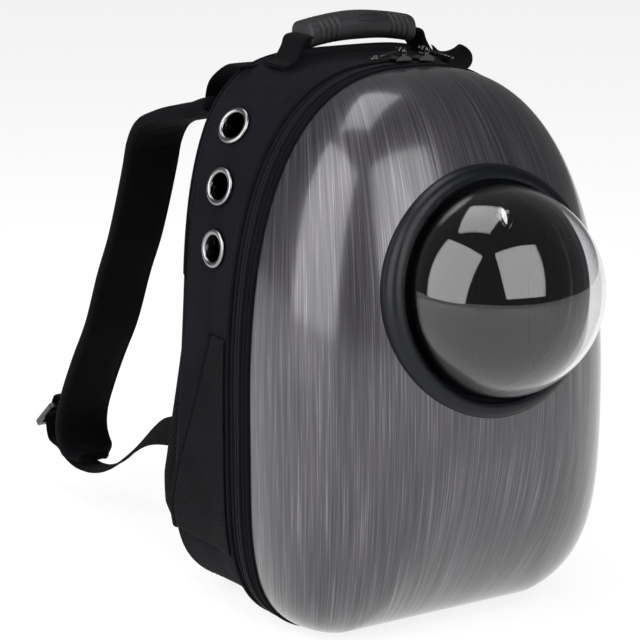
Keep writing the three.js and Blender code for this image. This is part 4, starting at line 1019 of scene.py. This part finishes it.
def make_strap(name, side):
    skip, steps = 9, 192
    centre = strap_path(side, skip)

    def width(t):
        return STRAP_WIDTH * strap_scale(lerp(skip / steps, 1, t))[0]

    def section(t):
        thin = strap_scale(lerp(skip / steps, 1, t))[1]
        return rounded_bar(width(t) - 2, STRAP_THICK * thin, power=5, steps=40)

    piece = sweep(f"strap_{name}", centre, ACROSS, section)
    dress(piece, LOOKS["strap"], [f"shoulder_strap_{name}"])
    around = np.arange(40)
    edge = np.abs(np.cos(2 * math.pi * (around + 0.5) / 40)) > 0.93
    ends = np.isin(np.arange(len(centre)), [0, 1, len(centre) - 2, len(centre) - 1])
    fill_out(piece, (edge[None, :] | ends[:, None]).ravel(), 2.0, 1.2)
    side_way = frames_along(centre, ACROSS)[0]
    half = np.array([width(t) / 2 for t in np.linspace(0, 1, len(centre))])
    ring = [(3.1 * math.cos(a), 4.4 * math.sin(a)) for a in 2 * math.pi * np.arange(14) / 14]
    for edge in (-1, 1):
        place = centre + side_way * edge * (half - 2.6)[:, None]
        trim = sweep(f"strap_binding_{name}_{'in' if edge * side < 0 else 'out'}", place, ACROSS, ring)
        dress(trim, LOOKS["binding"])
    return piece


# Webbing
def webbing(name, node, centre, side, width=WEBBING_WIDTH, thick=WEBBING_THICK):
    piece = sweep(name, centre, side, rounded_bar(width, thick))
    return dress(piece, LOOKS["webbing"], [node])


LIFTER_ROUTES = {
    "left": [(-0.24, -0.63, 0.32), (-0.24, -0.29, -0.04), (-0.24, 0.1, -0.09), (-0.24, 0.54, 0.07),
             (-0.24, 0.88, 0.3), (-0.24, 1, 0.57), (-0.24, 0.93, 0.95)],
    "right": [(-0.06, -0.22, 0.32), (0.06, -0.17, 0.02), (0.41, -0.1, 0), (0.82, 0, 0.13),
              (0.98, 0.2, 0.32), (0.82, 0.49, 0.47), (0.53, 0.83, 0.61), (0.35, 0.98, 1)],
}


def make_lifter(name, side):
    edge = float(top_z(1, STRAP_X))
    path = [(side * (STRAP_X + bow * LIFTER_BOW), BACK_Y + reach * LIFTER_REACH, edge - fall * LIFTER_FALL)
            for bow, reach, fall in LIFTER_ROUTES[name]]
    centre = curve_points(path, 10)[12:]
    return webbing(f"lifter_{name}", f"load_lifter_{name}", centre, ACROSS, 0.8 * WEBBING_WIDTH)


STRAP_END = np.array([BACK_Y + STRAP_REACH, STRAP_ROOT_Z - STRAP_DROP])
BUCKLE_CENTRE = STRAP_END + [BUCKLE_OUT, BUCKLE_UP]
BUCKLE_ALONG = np.array([0, math.cos(BUCKLE_TILT), math.sin(BUCKLE_TILT)])
BUCKLE_FACE = np.array([0, -math.sin(BUCKLE_TILT), math.cos(BUCKLE_TILT)])
SLOT_SHIFT = BUCKLE_LENGTH / 4
END_BAR = SLOT_SHIFT + BUCKLE_SLOT / 2
MIDDLE_BAR = SLOT_SHIFT - BUCKLE_SLOT / 2
SNUG = GAP + WEBBING_THICK / 2
BUCKLE_FACE_OUT = BUCKLE_THICK / 2
AROUND_BAR = [(-SNUG, -1), (-SNUG, 1), (-SNUG + GAP, BUCKLE_FACE_OUT + SNUG),
              (1.5, BUCKLE_FACE_OUT + SNUG + 1)]


def buckle_spot(side, along, out):
    return np.array([side * STRAP_X, *BUCKLE_CENTRE]) + BUCKLE_ALONG * along + BUCKLE_FACE * out


def make_tab(name, side):
    root = (side * STRAP_X, STRAP_END[0] - BUCKLE_TAB_SINK, STRAP_END[1] + BUCKLE_TAB_RISE)
    above = [buckle_spot(side, -END_BAR - a, out) for a, out in AROUND_BAR][::-1]
    below = [buckle_spot(side, -END_BAR - a, -out) for a, out in AROUND_BAR[2:]]
    past = buckle_spot(side, -BUCKLE_LENGTH / 2 - BUCKLE_BEVEL, BUCKLE_FACE_OUT + BUCKLE_BEVEL)
    centre = curve_points([root, past, *above, *below], 6)
    return webbing(f"tab_{name}", f"buckle_tab_{name}", centre, ACROSS)


ADJUSTER_ROUTE = [
    # across, out, rise, turn
    (0, 0.02, 1, 62), (0.08, 0.13, 0.98, 60), (0.2, 0.24, 0.91, 57), (0.38, 0.36, 0.79, 52),
    (0.6, 0.48, 0.61, 45), (0.79, 0.6, 0.39, 35), (0.9, 0.72, 0.17, 22), (0.97, 0.82, 0.035, 11),
    (1, 0.9, -0.03, 3), (1, 0.97, -0.045, 0), (1, 1.03, -0.01, 0), (1, 1.08, 0.06, 0),
]


def make_adjuster(name, side):
    path = [(side * lerp(ANCHOR_X, STRAP_X, across), BACK_Y + out * STRAP_REACH,
             lerp(STRAP_END[1], ANCHOR_Z, rise)) for across, out, rise, _ in ADJUSTER_ROUTE]
    path += [buckle_spot(side, END_BAR - SNUG, -ADJUSTER_HANG),
             buckle_spot(side, MIDDLE_BAR + 2 * SNUG, -BUCKLE_THICK)]
    path += [buckle_spot(side, MIDDLE_BAR - a, out) for a, out in AROUND_BAR]
    path.append(buckle_spot(side, -MIDDLE_BAR / 2, BUCKLE_THICK))
    steps = 8
    centre = curve_points(path, steps)
    turns = [row[3] for row in ADJUSTER_ROUTE] + [0] * (len(path) - len(ADJUSTER_ROUTE))
    fine = np.radians(np.interp(np.arange(len(centre)) / steps, np.arange(len(turns)), turns))
    sides = np.stack([np.cos(fine), np.zeros_like(fine), -side * np.sin(fine)], axis=1)
    start = 10
    return webbing(f"adjuster_{name}", f"adjuster_webbing_{name}", centre[start:], sides[start:])


def make_buckle(name, side):
    slot_half = WEBBING_WIDTH / 2 + 1
    xs = [-BUCKLE_WIDTH / 2, -slot_half, slot_half, BUCKLE_WIDTH / 2]
    ys = [-BUCKLE_LENGTH / 2, -END_BAR, -MIDDLE_BAR, MIDDLE_BAR, END_BAR, BUCKLE_LENGTH / 2]
    work = bmesh.new()
    grid = [[work.verts.new((x * MM, y * MM, -BUCKLE_FACE_OUT * MM)) for x in xs] for y in ys]
    for r in range(5):
        for c in range(3):
            if c == 1 and r in (1, 3):
                continue
            work.faces.new((grid[r][c], grid[r][c + 1], grid[r + 1][c + 1], grid[r + 1][c]))
    made = bmesh.ops.extrude_face_region(work, geom=list(work.faces))
    top = [g for g in made["geom"] if isinstance(g, bmesh.types.BMVert)]
    bmesh.ops.translate(work, verts=top, vec=(0, 0, BUCKLE_THICK * MM))
    bmesh.ops.recalc_face_normals(work, faces=work.faces)
    corners = [e for e in work.edges if all(
        abs(abs(v.co.x) - BUCKLE_WIDTH / 2 * MM) < 1e-6 and abs(abs(v.co.y) - BUCKLE_LENGTH / 2 * MM) < 1e-6
        for v in e.verts) and abs(e.verts[0].co.z - e.verts[1].co.z) > 1e-6]
    bmesh.ops.bevel(work, geom=corners, offset=BUCKLE_BEVEL * MM, segments=4, affect="EDGES", profile=0.5)
    mesh = bpy.data.meshes.new(f"buckle_{name}")
    work.to_mesh(mesh)
    work.free()
    piece = bpy.data.objects.new(f"buckle_{name}", mesh)
    bpy.context.collection.objects.link(piece)
    spread = np.array([v.co for v in mesh.vertices])
    base = np.array([side * STRAP_X, *BUCKLE_CENTRE]) * MM
    moved = base + np.outer(spread[:, 0], [1, 0, 0]) + np.outer(spread[:, 1], BUCKLE_ALONG) \
        + np.outer(spread[:, 2], BUCKLE_FACE)
    mesh.vertices.foreach_set("co", moved.ravel())
    mesh.update()
    outward(piece)
    soften(piece, 0.9, 3)
    piece.data.shade_smooth()
    return dress(piece, LOOKS["plastic"], [f"strap_buckle_{name}"])


# Handle
GRIP_Z = float(top_z(HANDLE_SHARE, 0)) + GRIP_CLEARANCE + GRIP_HEIGHT / 2
GRIP_RIBS, GRIP_RIB_PITCH = 4, 4.6


def grip_centre_z(x):
    return GRIP_Z - GRIP_DROOP * (x / (GRIP_LENGTH / 2)) ** 2


def grip_scale(x):
    half = GRIP_LENGTH / 2
    x = abs(x)
    scale = lerp(1.04, 1.0, smooth(x, 0, half * 0.6))
    for k in range(GRIP_RIBS):
        middle = half - 7 - k * GRIP_RIB_PITCH - 1.6
        scale -= 0.1 * math.exp(-((x - middle) / 0.95) ** 4)
    if x > half - 1.5:
        scale *= lerp(1, 0.87, ((x - half + 1.5) / 1.5) ** 2)
    return scale


def grip_point(x, angle, lift=0.0):
    scale = grip_scale(x)
    c, s = math.cos(angle), math.sin(angle)
    y = (GRIP_WIDTH / 2 * scale + lift) * math.copysign(abs(c) ** 0.75, c)
    z = (GRIP_HEIGHT / 2 * scale + lift) * math.copysign(abs(s) ** 0.75, s)
    return (x, HANDLE_Y + y, grip_centre_z(x) + z)


def make_grip():
    xs = np.linspace(-GRIP_LENGTH / 2, GRIP_LENGTH / 2, 260)
    angles = 2 * math.pi * (np.arange(56) + 0.5) / 56
    rows = [[grip_point(x, a) for a in angles] for x in xs]
    piece = surface("grip", np.array(rows), wrap_columns=True, cap=True)
    return dress(piece, LOOKS["grip"], ["handle_grip"])


def make_grip_oval():
    """A plain raised oval line on the front of the grip."""
    middle, half_length, half_turn, facing = 6.0, 12.0, 0.3, math.radians(146)
    path = []
    for a in 2 * math.pi * np.arange(72) / 72:
        x = middle + half_length * math.cos(a)
        path.append(grip_point(x, facing + half_turn * math.sin(a), 0.15))
    path = np.array(path)
    along = np.roll(path, -1, axis=0) - np.roll(path, 1, axis=0)
    along /= np.linalg.norm(along, axis=1, keepdims=True)
    out = path - path.mean(axis=0)
    out -= along * np.sum(out * along, axis=1, keepdims=True)
    out /= np.linalg.norm(out, axis=1, keepdims=True)
    up = np.cross(along, out)
    turn = 2 * math.pi * np.arange(8) / 8
    rows = np.array([[path[k] + 0.45 * (out[k] * math.cos(t) + up[k] * math.sin(t)) for t in turn]
                     for k in range(len(path))])
    piece = surface("grip_oval", rows, wrap_rows=True, wrap_columns=True)
    return dress(piece, LOOKS["grip"])


def make_handle_webbing(name, side):
    end = GRIP_LENGTH / 2
    tail = HANDLE_LANDING + HANDLE_TAIL
    landing = float(top_z(HANDLE_SHARE, HANDLE_LANDING))
    start_z = grip_centre_z(end)
    lift = HANDLE_WEBBING_THICK / 2
    path = [
        (side * (end - 2), HANDLE_Y, start_z),
        (side * (end + 5), HANDLE_Y, start_z - 1.5),
        (side * lerp(end, HANDLE_LANDING, 0.55), HANDLE_Y, lerp(landing, start_z, 0.55)),
        (side * HANDLE_LANDING, HANDLE_Y, landing + lift),
        (side * tail, HANDLE_Y, float(top_z(HANDLE_SHARE, tail)) + lift),
    ]
    return webbing(f"handle_web_{name}", f"handle_webbing_{name}", curve_points(path, 12), BACKWARD,
                   HANDLE_WEBBING_WIDTH, HANDLE_WEBBING_THICK)


# Side pockets: height and reach as shares
POCKET_ROWS = np.array([(0, 0.93), (0.14, 0.9), (0.28, 0.8), (0.44, 0.68), (0.62, 0.53), (0.8, 0.4),
                        (1, 0.27)])


def pocket_point(height, column, out, side):
    z = lerp(POCKET_BOTTOM, POCKET_TOP, height)
    reach = np.interp(height, POCKET_ROWS[:, 0], POCKET_ROWS[:, 1])
    share = max(0.03, reach * column)
    stand = POCKET_BULGE * 4 * height * (1 - height) * column + 2 * GAP
    return np.array([side * (side_x(share, z) + stand + out), gusset_y(share, z), z])


def make_pocket(name, side):
    heights = np.linspace(0, 1, 60)
    columns = np.linspace(0.02, 1, 30)
    outer = [[pocket_point(h, c, POCKET_WALL, side) for c in columns] for h in heights]
    inner = [[pocket_point(h, c, 0, side) for c in columns[::-1]] for h in heights]
    rows = np.concatenate([np.array(outer), np.array(inner)], axis=1)
    piece = surface(f"pocket_{name}", rows, wrap_columns=True, cap=True)
    dress(piece, LOOKS["pocket"], [f"side_pocket_{name}"])
    centre = np.array([pocket_point(h, 1, POCKET_WALL / 2, side) + [0, GAP + BINDING_WIDTH / 2, 0]
                       for h in np.linspace(0, 1, 80)])
    ring = rounded_bar(BINDING_WIDTH, BINDING_THICK, power=3)
    trim = sweep(f"pocket_edge_{name}", centre, BACKWARD, ring)
    dress(trim, LOOKS["binding"], [f"pocket_binding_{name}"])
    return piece


def make_everything():
    make_shell()
    make_ring()
    make_dome()
    make_piping("rim_bead", RIM_PIPING_Y, RIM_PIPING_WIDTH, "rim_piping")
    make_piping("seam_bead", SEAM_PIPING_Y, SEAM_PIPING_WIDTH, "seam_piping")
    make_zip()
    make_bag()
    make_pad()
    make_grip()
    make_grip_oval()
    make_seam_stitches()
    for name, side in SIDES.items():
        for k, (height, share) in enumerate(GROMMETS, 1):
            make_grommet(f"grommet_{name}_{k}", height, share, side)
        make_strap(name, side)
        make_lifter(name, side)
        make_tab(name, side)
        make_adjuster(name, side)
        make_buckle(name, side)
        make_handle_webbing(name, side)
        make_pocket(name, side)
        make_slider(name)
        make_pull(name, side)


# Floor, light and camera
FLOOR_SIZE, FLOOR_DROP = 14, 0.0005
STUDIO_MIDDLE = Vector((0, -0.05, 0.25))


def make_studio():
    bpy.ops.mesh.primitive_plane_add(size=FLOOR_SIZE, location=(0, 0, -FLOOR_DROP))
    floor = bpy.context.object
    floor.name = "floor"
    pale = Look("pale_floor", (0.25, 0.25, 0.25), 0.8, Emission_Color=(1, 1, 1), Emission_Strength=0.82)
    floor.data.materials.append(pale.material)
    world = bpy.data.worlds.new("studio")
    bpy.context.scene.world = world
    world.use_nodes = True
    background = world.node_tree.nodes["Background"]
    background.inputs["Color"].default_value = (1, 1, 1, 1)
    background.inputs["Strength"].default_value = 0.15

    def softbox(name, way, distance, width, height, radiance):
        """A lamp in a direction from the middle; sizes in metres."""
        light = bpy.data.lights.new(name, "AREA")
        light.shape = "RECTANGLE"
        light.size, light.size_y = width, height
        light.energy = radiance * width * height * math.pi
        lamp = bpy.data.objects.new(name, light)
        way = Vector(way).normalized()
        lamp.location = STUDIO_MIDDLE + way * distance
        lamp.rotation_euler = way.to_track_quat("Z", "Y").to_euler()
        lamp.visible_camera = False
        bpy.context.collection.objects.link(lamp)

    softbox("left_softbox", (-0.89, 0.0, 0.42), 2.4, 2.2, 2.5, 3.8)
    softbox("front_softbox", (-0.09, -0.84, 0.5), 2.6, 2.1, 2.5, 4.0)
    softbox("top_softbox", (-0.1, 0.2, 0.95), 2.2, 1.4, 1.2, 3.2)
    bpy.context.scene.view_settings.view_transform = "Standard"


CAMERA_PLACE = (-0.9871, -1.4998, 0.6478)
CAMERA_TARGET = (-0.07868, -0.065, 0.23165)
SENSOR_WIDTH, FOCAL_LENGTH = 36, 137.542


def make_camera():
    data = bpy.data.cameras.new("camera")
    data.sensor_width = SENSOR_WIDTH
    data.lens = FOCAL_LENGTH
    data.clip_start = 0.01
    camera = bpy.data.objects.new("camera", data)
    camera.location = CAMERA_PLACE
    way = Vector(CAMERA_TARGET) - Vector(CAMERA_PLACE)
    camera.rotation_euler = way.to_track_quat("-Z", "Y").to_euler()
    bpy.context.collection.objects.link(camera)
    bpy.context.scene.camera = camera


make_camera()
make_everything()
make_studio()
